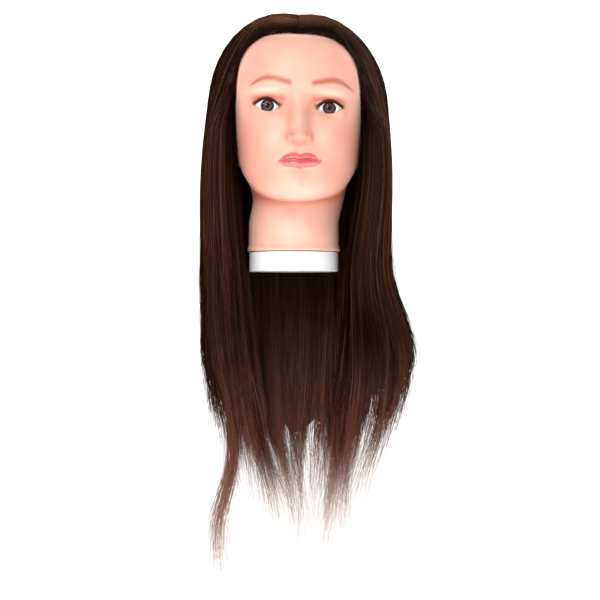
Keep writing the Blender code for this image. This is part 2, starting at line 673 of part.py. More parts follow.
def crown_patch(name, angles_at, levels, parts, finish):
    """Hair on the head between the angles that angles_at gives for each level, up to the top."""
    theta_rows = [angles_at(level) for level in levels]
    t_rows = [[t_at_height(level, a) for a in row] for level, row in zip(levels, theta_rows)]
    top_t = np.array(t_rows[-1])
    for share in CROWN_SHARES:
        t_rows.append(top_t + (TOP_RING - top_t) * share)
        theta_rows.append(theta_rows[-1])
    theta, t = np.array(theta_rows), np.array(t_rows)
    shell_patch(name, hair_layer(theta, t, False), hair_layer(theta, t, True), parts, finish)


def make_crown_hair(parts, finish):
    """Hair that lies on the head: a left and a right half in front, and the back."""
    corner = HAIRLINE_Z - HAIRLINE_CORNER
    levels = np.concatenate([
        np.linspace(CROWN_BOTTOM, corner, 6),
        corner + HAIRLINE_CORNER * np.sin(np.radians(CORNER_ROWS_DEG)),
    ])
    split = math.radians(SIDE_SPLIT_DEG)
    for side, sign in SIDES:
        def side_angles(level, sign=sign):
            start = max(float(front_edge(level)), math.radians(PART_DEG))
            return sign * np.linspace(start, split, 9)
        crown_patch(f"{side}_crown_hair", side_angles, levels, parts, finish)
    back_start = split + math.radians(BACK_GAP_DEG)
    back_angles = np.linspace(back_start, 2 * math.pi - back_start, 15)
    crown_patch("back_crown_hair", lambda level: back_angles, levels, parts, finish)


def rounded(angle):
    """One coordinate of an oval whose corners are fuller than an ellipse's."""
    return np.sign(angle) * abs(angle) ** SECTION_ROUND


def make_section(name, hinge, pivot, parts, finish):
    """A hanging section of hair, lofted through its oval levels, under its hinge."""
    turn = np.linspace(0, 2 * math.pi, SECTION_SIDES, endpoint=False)
    bm = bmesh.new()
    loops = []
    for z, centre_x, centre_y, half_x, half_y in SECTIONS[name]:
        ring = [
            bm.verts.new(Vector((centre_x + half_x * rounded(math.cos(a)),
                                 centre_y + half_y * rounded(math.sin(a)), z)) * MM - pivot)
            for a in turn
        ]
        loops.append([bm.edges.new((ring[i], ring[i - 1])) for i in range(len(ring))])
    for low, high in zip(loops, loops[1:]):
        bmesh.ops.bridge_loops(bm, edges=low + high)
    close_up(bm)
    object_from(bm, name, parts, finish).parent = hinge


def make_hanging_hair(parts, finish):
    """The hinges that the hanging locks swing on, and each lock's sections."""
    hinges = {}
    for name, (place, parent, sections) in HINGES.items():
        hinge = bpy.data.objects.new(name, None)
        parts.objects.link(hinge)
        pivot = Vector(place) * MM
        hinge.location = pivot
        if parent:
            hinge.parent = hinges[parent]
            hinge.location -= hinges[parent].location
        hinges[name] = hinge
        for section in sections:
            make_section(section, hinge, pivot, parts, finish)


def main():
    clear_scene()
    parts = new_collection("training_head")
    cutters = new_collection("cutters")
    finishes = {
        "skin": material("skin_vinyl", (0.90, 0.60, 0.48), 0.42),
        "foam": material("core_foam", (0.85, 0.78, 0.55), 0.9),
        "latex": material("scalp_latex", (0.75, 0.62, 0.45), 0.6),
        "base": material("base_plastic", (0.93, 0.93, 0.95), 0.35),
        "socket": material("socket_plastic", (0.80, 0.80, 0.82), 0.4),
        "eye_white": material("eye_white_acrylic", (0.93, 0.92, 0.92), 0.15),
        "iris": material("iris_print", (0.10, 0.07, 0.06), 0.35),
        "cornea": material("cornea_acrylic", (1.0, 1.0, 1.0), 0.03, transmission=1.0),
        "lash": material("lash_fibre", (0.10, 0.05, 0.035), 0.5),
        "hair": material("hair_fibre", (0.055, 0.022, 0.014), 0.4),
    }
    make_base(parts, finishes["base"], finishes["socket"])
    eyes = [make_eye(side, sign, parts, cutters, finishes) for side, sign in SIDES]
    make_skin(parts, cutters, finishes["skin"], [cutter for pair, _ in eyes for cutter in pair])
    make_core(parts, cutters, finishes["foam"], [hollow for _, hollow in eyes])
    make_liner(parts, finishes["latex"])
    make_lashes(parts, finishes["lash"])
    make_crown_hair(parts, finishes["hair"])
    make_hanging_hair(parts, finishes["hair"])


main()
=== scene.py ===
"""The looks of a salon training head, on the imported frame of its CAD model.

Lengths are in millimetres until MM turns them into metres. +X is the viewer's right, the face
looks along -Y, and the origin is the middle of the neck base's underside.
"""

import json
import math
from collections import namedtuple

import bpy
import numpy as np
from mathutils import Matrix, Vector
from mathutils.bvhtree import BVHTree

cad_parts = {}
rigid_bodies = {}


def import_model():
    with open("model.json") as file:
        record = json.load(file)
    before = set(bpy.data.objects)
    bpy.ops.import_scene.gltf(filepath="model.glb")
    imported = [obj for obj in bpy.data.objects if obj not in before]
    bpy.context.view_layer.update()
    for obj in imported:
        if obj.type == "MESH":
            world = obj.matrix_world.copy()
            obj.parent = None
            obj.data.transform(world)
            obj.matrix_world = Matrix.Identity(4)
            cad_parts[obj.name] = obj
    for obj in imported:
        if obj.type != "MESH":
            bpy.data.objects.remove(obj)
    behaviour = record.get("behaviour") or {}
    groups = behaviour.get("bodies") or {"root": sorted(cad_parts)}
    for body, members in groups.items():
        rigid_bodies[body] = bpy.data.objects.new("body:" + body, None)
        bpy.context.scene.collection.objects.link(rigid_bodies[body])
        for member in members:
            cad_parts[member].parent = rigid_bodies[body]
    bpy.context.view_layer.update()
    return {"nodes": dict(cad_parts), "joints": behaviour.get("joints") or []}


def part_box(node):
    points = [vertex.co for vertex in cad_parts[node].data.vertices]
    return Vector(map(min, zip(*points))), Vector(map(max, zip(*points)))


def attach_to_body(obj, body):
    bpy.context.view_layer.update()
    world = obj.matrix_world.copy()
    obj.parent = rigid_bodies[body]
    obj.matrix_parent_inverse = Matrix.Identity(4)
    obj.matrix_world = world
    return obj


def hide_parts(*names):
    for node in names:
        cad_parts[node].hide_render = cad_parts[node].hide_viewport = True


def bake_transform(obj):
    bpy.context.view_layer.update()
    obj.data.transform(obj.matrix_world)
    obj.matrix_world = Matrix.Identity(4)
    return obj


MM = 0.001
SEED = 7
FULL_TURN = 2 * math.pi
RIGHT_ANGLE = math.pi / 2
SIDES = (("left", -1), ("right", 1))

# ---- Camera ------------------------------------------------------
CAMERA_X, CAMERA_Z = 7.0, -32.0
CAMERA_DISTANCE = 1500.0
LENS, SENSOR = 80.0, 36.0

# ---- Head form: one row per ring, from the neck's foot to the top, close to the CAD's ----
# front y, front z, side x, side y, side z, back y, back z, front squareness, front z exponent
RINGS = np.array([
    (-51.0, 22.0, 51.0, 0, 22, 51.0, 22, 2.00, 1.00),
    (-49.5, 38.0, 50.6, 1, 40, 50.0, 42, 2.00, 1.00),
    (-48.0, 55.0, 50.4, 2, 60, 50.0, 62, 2.00, 1.00),
    (-49.5, 69.0, 51.0, 3, 80, 51.5, 82, 2.05, 1.00),
    (-62.0, 74.0, 53.0, 2, 93, 54.5, 99, 2.10, 1.00),
    (-77.5, 73.2, 56.0, 0, 103, 60.0, 113, 2.10, 1.10),
    (-87.5, 77.0, 60.0, 0, 112, 67.0, 126, 2.10, 1.00),
    (-91.5, 87.0, 64.3, 1, 120, 74.0, 137, 2.10, 0.90),
    (-91.0, 100.0, 68.0, 2, 131, 80.5, 150, 2.10, 0.85),
    (-90.5, 115.0, 69.5, 4, 144, 86.0, 162, 2.10, 0.85),
    (-88.5, 130.0, 71.0, 5, 156, 90.0, 174, 2.15, 0.90),
    (-85.0, 150.0, 72.5, 7, 171, 93.5, 189, 2.25, 0.95),
    (-82.5, 174.0, 74.0, 9, 188, 95.5, 203, 2.40, 1.00),
    (-85.0, 197.0, 74.5, 10, 205, 95.5, 218, 2.40, 1.00),
    (-83.0, 219.0, 73.5, 11, 223, 92.0, 233, 2.30, 1.00),
    (-76.0, 240.0, 69.5, 11, 241, 84.0, 248, 2.20, 1.00),
    (-64.0, 257.0, 60.0, 11, 257, 71.0, 261, 2.10, 1.00),
    (-45.0, 271.0, 44.0, 10, 270, 52.0, 272, 2.00, 1.00),
    (-22.0, 279.5, 24.0, 9, 279, 30.0, 279.5, 2.00, 1.00),
    (8.0, 283.0, 0.0, 8, 283, 8.0, 283, 2.00, 1.00),
])
TOP_RING = len(RINGS) - 1.0
RING_STEPS = np.linspace(0, TOP_RING, 400)
# The head's shift to +X and its tilt, and the heights between which each sets in.
SHIFT = 5.2
SHIFT_FROM, SHIFT_FULL = 52.0, 84.0
TILT = math.tan(math.radians(2.4))
TILT_FROM, TILT_FULL = 105.0, 165.0

# ---- Face --------------------------------------------------------
# Eyes: the ball, half the width of the opening, and how far inside the ball the opening ends.
EYE_X, EYE_Y, EYE_Z = 33.2, -60.5, 174.8
EYE_RADII = np.array((17.0, 13.5, 14.0))
EYE_HALF = 14.2
OPENING_DEPTH = 1.6
# Lids: how far they stand off the ball, their edges, and the fold above the upper one.
LID_STAND, LID_BLEND = 2.6, 3.2
LID_TOP, LID_BOTTOM = 6.4, 5.8
LID_TOP_ROUNDNESS, LID_BOTTOM_ROUNDNESS = 2.5, 2.0
LID_SLANT = 0.9
LID_FOLD_RISE, LID_FOLD_DEPTH = 4.2, 0.9
# Irises, each a shallow dish in a seat of the ball, and the clear domes over them.
IRIS_RADIUS = 6.8
IRIS_SEAT = 3.6
IRIS_BEHIND, IRIS_DISH = 1.5, 0.3
IRIS_SPOKES = 2.2
CORNEA_PROUD = 0.45
# Mouth: its line, the height of each lip, and how far the lips roll out and part.
MOUTH_Z = 115.9
MOUTH_HALF = 22.3
UPPER_LIP, LOWER_LIP = 7.8, 8.8
UPPER_ROLL, LOWER_ROLL, LIP_GROOVE = 3.8, 5.0, 2.2
# How far the features sit off the middle, and how far the lower nose is moved up.
NOSE_SHIFT, MOUTH_SHIFT = 1.3, 2.0
BROW_SHIFT = 3.7
NOSE_RISE, NOSE_RISE_FROM, NOSE_RISE_FULL = 1.5, 170.0, 146.0
# Ears, under the hair.
EAR_Y, EAR_Z = 16.0, 146.0
EAR_RADII = (15.0, 30.0)
EAR_HEIGHT = 11.0
EAR_LEAN = 0.18
# The hem at the foot of the skin, and the edge turned in and up inside it.
HEM_OUT, HEM_LOW, HEM_HIGH = 1.2, (22.0, 23.2), (28.5, 25.5)
FOOT_SCALE, FOOT_LIP, FOOT_UP = 0.93, 0.4, 12.0
# The hairline: its height, its rounded corners, and the angle where the hair begins beside them.
HAIRLINE_Z = 253.0
HAIRLINE_CORNER = 19.0
HAIRLINE_SQUARE = 2.5
TEMPLE_DEG = 57.5
CHEEK_BACK_DEG, CHEEK_BACK_Z = 13.0, (222.0, 140.0)

# The nose's ridge from its foot to between the brows: z, how far it stands out, half width.
NOSE_Z = (124, 128, 131, 134, 138, 142, 147, 154, 163, 172, 181, 192)
NOSE_OUT = (0, 0.3, 3.4, 10.0, 15.2, 16.4, 15.4, 12.6, 9.0, 5.4, 2.6, 0)
NOSE_HALF = (10, 10, 10, 10, 10, 9.8, 9.2, 8.6, 8.2, 8.0, 8.2, 9.0)

# Soft bumps, the same on both sides: height, x, z, reach in x, reach in z.
FACE_FORMS = (
    (-6.4, 31, 178, 19, 12),  # eye hollows
    (-3.6, 15.5, 174, 6.5, 9),  # inner corners of the eyes
    (1.6, 31, 199, 22, 7),  # brow bones
    (2.2, 43, 149, 17, 15),  # cheeks
    (2.6, 0, 114, 26, 19),  # mouth area
    (-1.0, 0, 127, 2.6, 5.0),  # groove under the nose
    (0.5, 4.6, 127, 2.0, 5.0),  # ridges beside that groove
    (-2.4, 0, 101.5, 15, 4.2),  # hollow under the lips
    (2.2, 0, 85, 14, 9),  # chin
    (-1.0, 26, 128, 5, 12),  # folds beside the mouth
)
NOSE_FORMS = (
    (1.9, 0, 141.5, 8.4, 7.0),  # tip
    (7.6, 9.8, 139.0, 4.0, 5.0),  # wings
    (2.4, 7.0, 137, 5, 5),  # undersides of the wings
    (-1.2, 14.4, 139.5, 1.7, 4.8),  # creases outside the wings
    (-2.2, 5.6, 132.8, 2.8, 1.8),  # nostrils
    (-1.5, 7.6, 140.0, 1.5, 3.4),  # grooves between tip and wings
)
# Spots on the skin in the same columns, with a strength in place of the height: painted shade round
# the eyes, beside and under the nose and under the lower lip, blush, and painted highlights.
SHADE_SPOTS = (
    (1.0, EYE_X, EYE_Z + 8.4, 16.5, 4.0),  # upper lids
    (0.5, 17, EYE_Z + 4, 4, 8),  # beside the bridge of the nose
    (0.45, EYE_X + 13, EYE_Z + 3, 6, 6),  # outer corners of the eyes
    (0.3, EYE_X, EYE_Z - 8.5, 13, 2.6),  # under the eyes
    (0.3, 0, 103.5, 15, 2.5),  # under the lower lip
)
NOSE_SHADE_SPOTS = (
    (0.35, 5.8, 133.0, 3.0, 1.7),  # nostrils
    (0.5, 13.2, 138.0, 1.8, 4.2),  # creases outside the wings
    (0.4, 7.6, 138.6, 1.8, 3.2),  # grooves between tip and wings
    (0.25, 0, 131, 10, 2),  # underside
)
BLUSH_SPOTS = (
    (0.55, 56, 140, 20, 26),  # cheeks
    (0.5, 60, 225, 22, 34),  # temples
    (0.45, 50, 95, 22, 20),  # jaw
)
# On the nose tip, a pinker tint that is also painted shade, darkening the bright tip.
NOSE_TIP_BLUSH_AND_PAINTED_SHADE = ((0.55, 0, 139, 10, 8),)
# Painted highlights on the brow bones, chin, cheeks and front of the neck.
PAINTED_HIGHLIGHT_SPOTS = (
    (0.7, EYE_X + 4, 190.5, 14, 3.4),  # brow bones
    (0.3, 0, 88, 20, 10),  # chin
    (0.2, 26, 140, 9, 10),  # cheeks beside the nose
    (0.3, 0, 40, 22, 22),  # front of the neck
)
# A painted highlight along the nose's bridge.
NOSE_PAINTED_HIGHLIGHT_SPOTS = ((0.3, 0, 154, 3.5, 12),)


# ---- Small maths -------------------------------------------------

def smoothstep(low, high, value):
    share = np.clip((np.asarray(value, float) - low) / (high - low), 0.0, 1.0)
    return share * share * (3.0 - 2.0 * share)


def around(count):
    """Evenly spaced angles round a full turn."""
    return np.linspace(0, FULL_TURN, count, endpoint=False)


def hump(offset, reach):
    """A soft hump of height 1 along one direction."""
    return np.exp(-((offset / reach) ** 2))


def bump(x, z, centre_x, centre_z, reach_x, reach_z):
    """A soft round bump of height 1."""
    return np.exp(-(((x - centre_x) / reach_x) ** 2) - ((z - centre_z) / reach_z) ** 2)


def bumps(table, x, z):
    """The sum of a table's bumps, the same on both sides of x = 0."""
    return sum(height * bump(np.abs(x), z, *where) for height, *where in table)


def hermite(a, b, slope_a, slope_b, share):
    """A cubic from a to b with the given slopes at its ends."""
    rest = 1 - share
    return (a * rest**2 * (1 + 2 * share) + b * share**2 * (3 - 2 * share)
            + slope_a * share * rest**2 - slope_b * share**2 * rest)


def smooth_through(at, knots, values):
    """A smooth curve through (knots, values), with finite-difference slopes."""
    knots, values = np.asarray(knots, float), np.asarray(values, float)
    at = np.clip(at, knots[0], knots[-1])
    slopes = np.gradient(values, knots)
    i = np.clip(np.searchsorted(knots, at, side="right") - 1, 0, len(knots) - 2)
    gap = knots[i + 1] - knots[i]
    share = (at - knots[i]) / gap
    return hermite(values[i], values[i + 1], gap * slopes[i], gap * slopes[i + 1], share)


def smooth_min(a, b, reach):
    """The lower of a and b, with the corner between them rounded over reach."""
    share = np.clip(0.5 + 0.5 * (b - a) / reach, 0, 1)
    return b * (1 - share) + a * share - reach * share * (1 - share)


def ring_values(t):
    """The ring table's columns at ring position t, by Catmull-Rom interpolation."""
    t = np.clip(t, 0.0, TOP_RING)
    first = np.clip(np.floor(t).astype(int), 0, len(RINGS) - 2)
    f = (t - first)[..., None]
    a, b, c, d = (RINGS[np.clip(first + step, 0, len(RINGS) - 1)] for step in (-1, 0, 1, 2))
    return 0.5 * (
        2 * b + (c - a) * f + (2 * a - 5 * b + 4 * c - d) * f**2 + (3 * b - a - 3 * c + d) * f**3
    )


def head_form(theta, t):
    """Points of the plain head, without features. theta is 0 at the front, + towards +X."""
    columns = np.moveaxis(ring_values(t), -1, 0)
    front_y, front_z, side_x, side_y, side_z, back_y, back_z, square, drop = columns
    front = np.cos(theta) >= 0
    power = np.where(front, 2.0 / square, 1.0)
    along = np.abs(np.cos(theta)) ** power
    x = np.maximum(side_x, 0.0) * np.sign(np.sin(theta)) * np.abs(np.sin(theta)) ** power
    y = side_y + np.where(front, front_y - side_y, back_y - side_y) * along
    lift = along ** np.where(front, drop, 1.0)
    z = side_z + np.where(front, front_z - side_z, back_z - side_z) * lift
    return np.stack([x, y, z], -1)


def ring_at(theta, z):
    """The ring position where the plain head reaches height z, going up at the angle theta."""
    heights = head_form(np.full_like(RING_STEPS, theta), RING_STEPS)[:, 2]
    return np.interp(z, np.maximum.accumulate(heights), RING_STEPS)


def settled(points):
    """The soft head sits a little to +X on its neck, with that side's eye and temple lower."""
    x, y, z = np.moveaxis(points, -1, 0)
    drop = x * TILT * smoothstep(TILT_FROM, TILT_FULL, z)
    return np.stack([x + SHIFT * smoothstep(SHIFT_FROM, SHIFT_FULL, z), y, z - drop], -1)


# ---- Face relief -------------------------------------------------

def nose_place(x, z):
    """x and z as the nose's tables have them: from its own middle, and before its rise."""
    return x - NOSE_SHIFT, z - NOSE_RISE * smoothstep(NOSE_RISE_FROM, NOSE_RISE_FULL, z)


def nose_relief(x, z):
    """How far the nose stands forward of the face."""
    height = smooth_through(z, NOSE_Z, NOSE_OUT)
    half_width = smooth_through(z, NOSE_Z, NOSE_HALF)
    return height * hump(x, half_width) + bumps(NOSE_FORMS, x, z)


def lip_edges(x):
    """z of the upper lip's top edge, the line between the lips and the lower lip's bottom edge."""
    share = np.clip(np.abs(x) / MOUTH_HALF, 0, 1)
    line = MOUTH_Z - 0.7 * hump(x, 5.0) + 0.6 * hump(np.abs(x) - 9, 5)
    top = line + UPPER_LIP * (1 - share**2.3) ** 0.66 - hump(x, 3.0)
    bottom = line - LOWER_LIP * (1 - share**3.0) ** 0.52
    return top, line, bottom


def lip_mask(x, z):
    """1 on the lips, 0 off them, soft over about half a millimetre."""
    top, _, bottom = lip_edges(x)
    inside = np.minimum(top - z, z - bottom)
    return smoothstep(-0.5, 0.5, inside) * smoothstep(0.4, -0.2, np.abs(x) - MOUTH_HALF)


def lip_relief(x, z):
    """Two rolls that meet in a groove, and a small hollow at each corner of the mouth."""
    top, line, bottom = lip_edges(x)
    share = np.clip(np.abs(x) / MOUTH_HALF, 0, 1)
    side = (1 - share**2) ** 0.6
    up = np.clip((z - line) / np.maximum(top - line, 0.3), 0, 1.6)
    down = np.clip((line - z) / np.maximum(line - bottom, 0.3), 0, 1.6)
    upper = UPPER_ROLL * side * hump(up - 0.42, 0.42)
    lower = LOWER_ROLL * side * hump(down - 0.45, 0.42)
    groove = LIP_GROOVE * (0.35 + 0.65 * side) * hump(z - line, 0.9)
    corner = 1.6 * bump(np.abs(x), z, MOUTH_HALF + 1.0, MOUTH_Z, 3.0, 3.0)
    near = smoothstep(MOUTH_HALF + 6, MOUTH_HALF - 1, np.abs(x))
    return (np.where(z > line, upper, lower) - groove) * near - corner


def aperture(x, z):
    """How far inside the opening between the lids a place is: positive inside, negative outside."""
    side = (np.abs(x) - EYE_X) / EYE_HALF
    reach = np.sqrt(np.clip(1 - side**2, 0, 1))
    height = z - EYE_Z - LID_SLANT * side
    below_top = LID_TOP * reach**LID_TOP_ROUNDNESS - height
    above_bottom = height + LID_BOTTOM * reach**LID_BOTTOM_ROUNDNESS
    return np.minimum(np.minimum(below_top, above_bottom), (1 - np.abs(side)) * 9)


def above_lid_fold(x, z):
    """Height above the fold of the upper lid; 0 along the fold, large beside it."""
    side = (np.abs(x) - EYE_X - 0.5) / (EYE_HALF + 1.5)
    fold = EYE_Z + (LID_TOP + LID_FOLD_RISE) * np.sqrt(np.clip(1 - side**2, 0, 1)) ** 0.9
    return np.where(np.abs(side) < 0.97, z - fold, 99.0)


def lid_front(x, z, stand):
    """y of an ellipsoid standing so far off the eyeball, and a large y beside it."""
    radii = EYE_RADII + stand
    inside = 1 - ((np.abs(x) - EYE_X) / radii[0]) ** 2 - ((z - EYE_Z) / radii[2]) ** 2
    return EYE_Y - radii[1] * np.sqrt(np.maximum(inside, 1e-4)) + 60.0 * (inside <= 1e-4)


def ear_relief(y, z):
    """How far an ear stands out of the side of the head, with its rim, bowl and lobe."""
    across = (y - EAR_Y - EAR_LEAN * (z - EAR_Z)) / EAR_RADII[0]
    along = (z - EAR_Z) / EAR_RADII[1]
    far = np.sqrt(across**2 + along**2)
    disc = smoothstep(1.12, 0.86, far)
    bowl = 0.5 * smoothstep(0.78, 0.45, far) * smoothstep(-0.75, -0.3, along)
    return EAR_HEIGHT * disc * (0.62 + 0.38 * np.clip(across, -1, 1)) * (1 - bowl)


def carved(theta, t):
    """The whole head with its features, before it settles."""
    x, y, z = np.moveaxis(head_form(theta, t), -1, 0)
    facing = smoothstep(0.12, 0.42, np.cos(theta))
    nose = nose_relief(*nose_place(x, z))
    y = y - facing * (bumps(FACE_FORMS, x, z) + nose + lip_relief(x - MOUTH_SHIFT, z))

    front = np.cos(theta) > 0.25
    lidded = smooth_min(y, lid_front(x, z, LID_STAND), LID_BLEND)
    fold = LID_FOLD_DEPTH * hump(above_lid_fold(x, z), 0.9) * front
    y = np.where(front, lidded, y) + fold
    opened = smoothstep(-0.45, 0.45, aperture(x, z)) * front * (np.abs(np.abs(x) - EYE_X) < 17)
    y = y + opened * np.maximum(lid_front(x, z, -OPENING_DEPTH) - y, 0)

    sideways = smoothstep(0.5, 0.8, np.abs(np.sin(theta)))
    x = x + np.sign(x) * sideways * ear_relief(y, z)
    hem = HEM_OUT * smoothstep(*HEM_HIGH, z) * smoothstep(*HEM_LOW, z)
    return np.stack([x + hem * np.sin(theta), y - hem * np.cos(theta), z], -1)


# ---- Mesh helpers ------------------------------------------------

def mesh_object(name, points, faces, material, values=None):
    """A smooth mesh from points in millimetres, with named float values per point."""
    mesh = bpy.data.meshes.new(name)
    mesh.from_pydata((np.asarray(points).reshape(-1, 3) * MM).tolist(), [], faces)
    for label, numbers in (values or {}).items():
        layer = mesh.attributes.new(label, "FLOAT", "POINT")
        layer.data.foreach_set("value", np.asarray(numbers, np.float32).ravel())
    mesh.materials.append(material)
    mesh.shade_smooth()
    mesh.update()
    obj = bpy.data.objects.new(name, mesh)
    bpy.context.scene.collection.objects.link(obj)
    return obj


def add_vectors(obj, label, x, y, z):
    """A named vector per point of a mesh, for its material."""
    layer = obj.data.attributes.new(label, "FLOAT_VECTOR", "POINT")
    layer.data.foreach_set("vector", np.stack([x, y, z], -1).astype(np.float32).ravel())


def grid_faces(rows, columns, wrap=False):
    """Quads over a grid of points, numbered row by row."""
    spans = columns if wrap else columns - 1
    i, j = np.meshgrid(np.arange(rows - 1), np.arange(spans), indexing="ij")
    k = (j + 1) % columns
    below, above = i * columns, (i + 1) * columns
    return np.stack([below + j, below + k, above + k, above + j], -1).reshape(-1, 4).tolist()


def grid_object(name, points, material, values=None):
    """A mesh from a grid of points that closes on itself round its columns."""
    rows, columns = points.shape[:2]
    return mesh_object(name, points, grid_faces(rows, columns, wrap=True), material, values)


def turned(name, profile, material, steps=96, place=(0, 0, 0), face_front=False):
    """A turned shape about Z from (radius, z) points, or about -Y where face_front is set."""
    radius, height = np.asarray(profile, float).T
    angle = around(steps)
    x = radius[:, None] * np.cos(angle)
    y = radius[:, None] * np.sin(angle)
    z = np.broadcast_to(height[:, None], x.shape)
    points = np.stack([x, -z, y] if face_front else [x, y, z], -1) + np.asarray(place)
    faces = [face[::-1] for face in grid_faces(len(radius), steps, wrap=True)]
    return mesh_object(name, points, faces, material)


def strands(name, paths, half_widths, material, values, sides=3):
    """Closed thin tubes along paths[strand][point]."""
    count, steps = paths.shape[:2]
    along = np.gradient(paths, axis=1)
    along /= np.maximum(np.linalg.norm(along, axis=-1, keepdims=True), 1e-9)
    reference = np.where(np.abs(along[..., 1:2]) < 0.9, (0.0, 1.0, 0.0), (1.0, 0.0, 0.0))
    across = np.cross(along, reference)
    across /= np.maximum(np.linalg.norm(across, axis=-1, keepdims=True), 1e-9)
    other = np.cross(along, across)
    turn = (np.arange(sides) * FULL_TURN / sides)[:, None]
    ring = across[:, :, None] * np.cos(turn) + other[:, :, None] * np.sin(turn)
    points = paths[:, :, None] + ring * half_widths[:, :, None, None]

    starts = (np.arange(count) * steps * sides)[:, None]
    tube = np.array(grid_faces(steps, sides, wrap=True))
    cap = np.arange(sides)
    faces = (tube + starts[..., None]).reshape(-1, 4).tolist()
    faces += (cap[::-1] + starts).tolist()
    faces += (cap + starts + (steps - 1) * sides).tolist()
    spread = {label: np.repeat(np.broadcast_to(numbers, (count, steps))[..., None], sides, axis=-1)
              for label, numbers in values.items()}
    return mesh_object(name, points, faces, material, spread)


def attach(obj, nodes, bend=None):
    """Hides the CAD nodes that a piece replaces. It rides the head, or, given a bend, keeps its
    place with its transform applied.
    """
    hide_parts(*nodes)
    if bend is None:
        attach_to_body(obj, "head")
    else:
        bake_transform(obj)


# ---- Materials ---------------------------------------------------

def srgb(red, green, blue):
    """A linear colour from 0-255 display values."""
    share = np.array((red, green, blue)) / 255.0
    linear = np.where(share <= 0.04045, share / 12.92, ((share + 0.055) / 1.055) ** 2.4)
    return (*linear, 1.0)


class Nodes:
    """Short ways to add and join shader nodes in one material."""

    def __init__(self, name):
        self.material = bpy.data.materials.new(name)
        self.material.use_nodes = True
        self.tree = self.material.node_tree
        self.shader = self.tree.nodes["Principled BSDF"]

    def add(self, kind, inputs=(), **settings):
        """A node with its first inputs put in order."""
        node = self.tree.nodes.new(kind)
        for key, value in settings.items():
            setattr(node, key, value)
        for socket, value in zip(node.inputs, inputs):
            self.put(socket, value)
        return node

    def put(self, socket, value):
        """Links an output, or sets a constant."""
        if isinstance(value, bpy.types.NodeSocket):
            self.tree.links.new(value, socket)
        else:
            socket.default_value = value

    def feed(self, node, **inputs):
        """Puts a node's inputs by name."""
        for label, value in inputs.items():
            self.put(node.inputs[label.replace("_", " ")], value)

    def set(self, **inputs):
        """Puts the shader's own inputs."""
        self.feed(self.shader, **inputs)

    def value(self, label, output="Fac"):
        return self.add("ShaderNodeAttribute", attribute_name=label).outputs[output]

    def position(self):
        return self.add("ShaderNodeTexCoord").outputs["Object"]

    def noise(self, vector, scale, detail=3.0, roughness=0.5):
        node = self.add("ShaderNodeTexNoise")
        self.feed(node, Vector=vector, Scale=scale, Detail=detail, Roughness=roughness)
        return node.outputs["Fac"]

    def mix(self, share, a, b):
        node = self.add("ShaderNodeMix", data_type="RGBA")
        for socket, value in zip((node.inputs[0], node.inputs[6], node.inputs[7]), (share, a, b)):
            self.put(socket, value)
        return node.outputs[2]

    def times(self, a, b):
        return self.add("ShaderNodeMath", (a, b), operation="MULTIPLY").outputs[0]

    def remap(self, value, low, high, to_low=0.0, to_high=1.0):
        return self.add("ShaderNodeMapRange", (value, low, high, to_low, to_high)).outputs[0]

    def bump(self, height, strength, distance):
        node = self.add("ShaderNodeBump")
        self.feed(node, Strength=strength, Distance=distance, Height=height)
        self.set(Normal=node.outputs[0])


def skin_material():
    """Mottled vinyl with the painted and tinted areas that face_masks lays out, among them shade
    and highlights painted into its colour.
    """
    n = Nodes("skin_vinyl")
    where = n.position()
    mottle = n.remap(n.noise(where, 38.0, 4.0), 0.35, 0.65)
    lip_grain = n.remap(n.noise(where, 160.0, 3.0), 0.3, 0.7)
    brow_grain = n.remap(n.noise(where, 700.0, 2.0), 0.3, 0.7, 0.75, 1.0)
    base = n.mix(mottle, srgb(243, 184, 163), srgb(247, 194, 173))
    for share, colour in (
        # Blush, with painted shade in the same tint on the nose tip.
        (n.value("blush_and_painted_shade"), srgb(240, 142, 118)),
        # Painted shade in the creases, round the eyes, under the nose and lower lip, and under the
        # chin.
        (n.value("shade"), srgb(206, 104, 74)),
        # Painted highlights, and the pale band along the hairline.
        (n.value("pale"), srgb(253, 226, 206)),
        (n.times(n.value("brow"), brow_grain), srgb(186, 98, 68)),
        (n.value("liner"), srgb(92, 42, 30)),
        (n.value("lips"), n.mix(lip_grain, srgb(226, 92, 92), srgb(238, 116, 112))),
    ):
        base = n.mix(share, base, colour)
    n.set(
        Base_Color=base,
        Roughness=n.remap(n.value("lips"), 0, 1, 0.43, 0.2),
        Subsurface_Weight=0.25,
        Subsurface_Radius=(1.0, 0.35, 0.2),
        Subsurface_Scale=0.004,
        Specular_IOR_Level=n.remap(n.value("liner"), 0, 1, 0.45, 0.02),
        Coat_Weight=n.remap(n.value("lips"), 0, 1, 0.0, 0.9),
        Coat_Roughness=0.12,
        Coat_IOR=2.0,
    )
    n.bump(n.noise(where, 1400.0, 2.0), 0.06, 0.0002)
    return n.material


def grained(name, dark, light, roughness, grain_scale, strength, depth, detail=2.0):
    """A solid whose fine grain mixes two colours and raises its surface."""
    n = Nodes(name)
    grain = n.noise(n.position(), grain_scale, detail)
    n.set(Base_Color=n.mix(grain, srgb(*dark), srgb(*light)), Roughness=roughness)
    n.bump(grain, strength, depth)
    return n.material


def base_plastic_material():
    white = (246, 246, 248)
    return grained("base_plastic_look", white, white, 0.38, 900.0, 0.05, 0.0002)


def socket_plastic_material():
    grey = (222, 222, 224)
    return grained("socket_plastic_look", grey, grey, 0.45, 700.0, 0.08, 0.0002)


def foam_material():
    return grained("foam_look", (214, 196, 150), (240, 226, 186), 0.95, 900.0, 0.6, 0.0006)


def liner_material():
    tan, pale_tan = (176, 150, 116), (206, 182, 146)
    return grained("scalp_latex_look", tan, pale_tan, 0.6, 450.0, 0.4, 0.0004, 3.0)


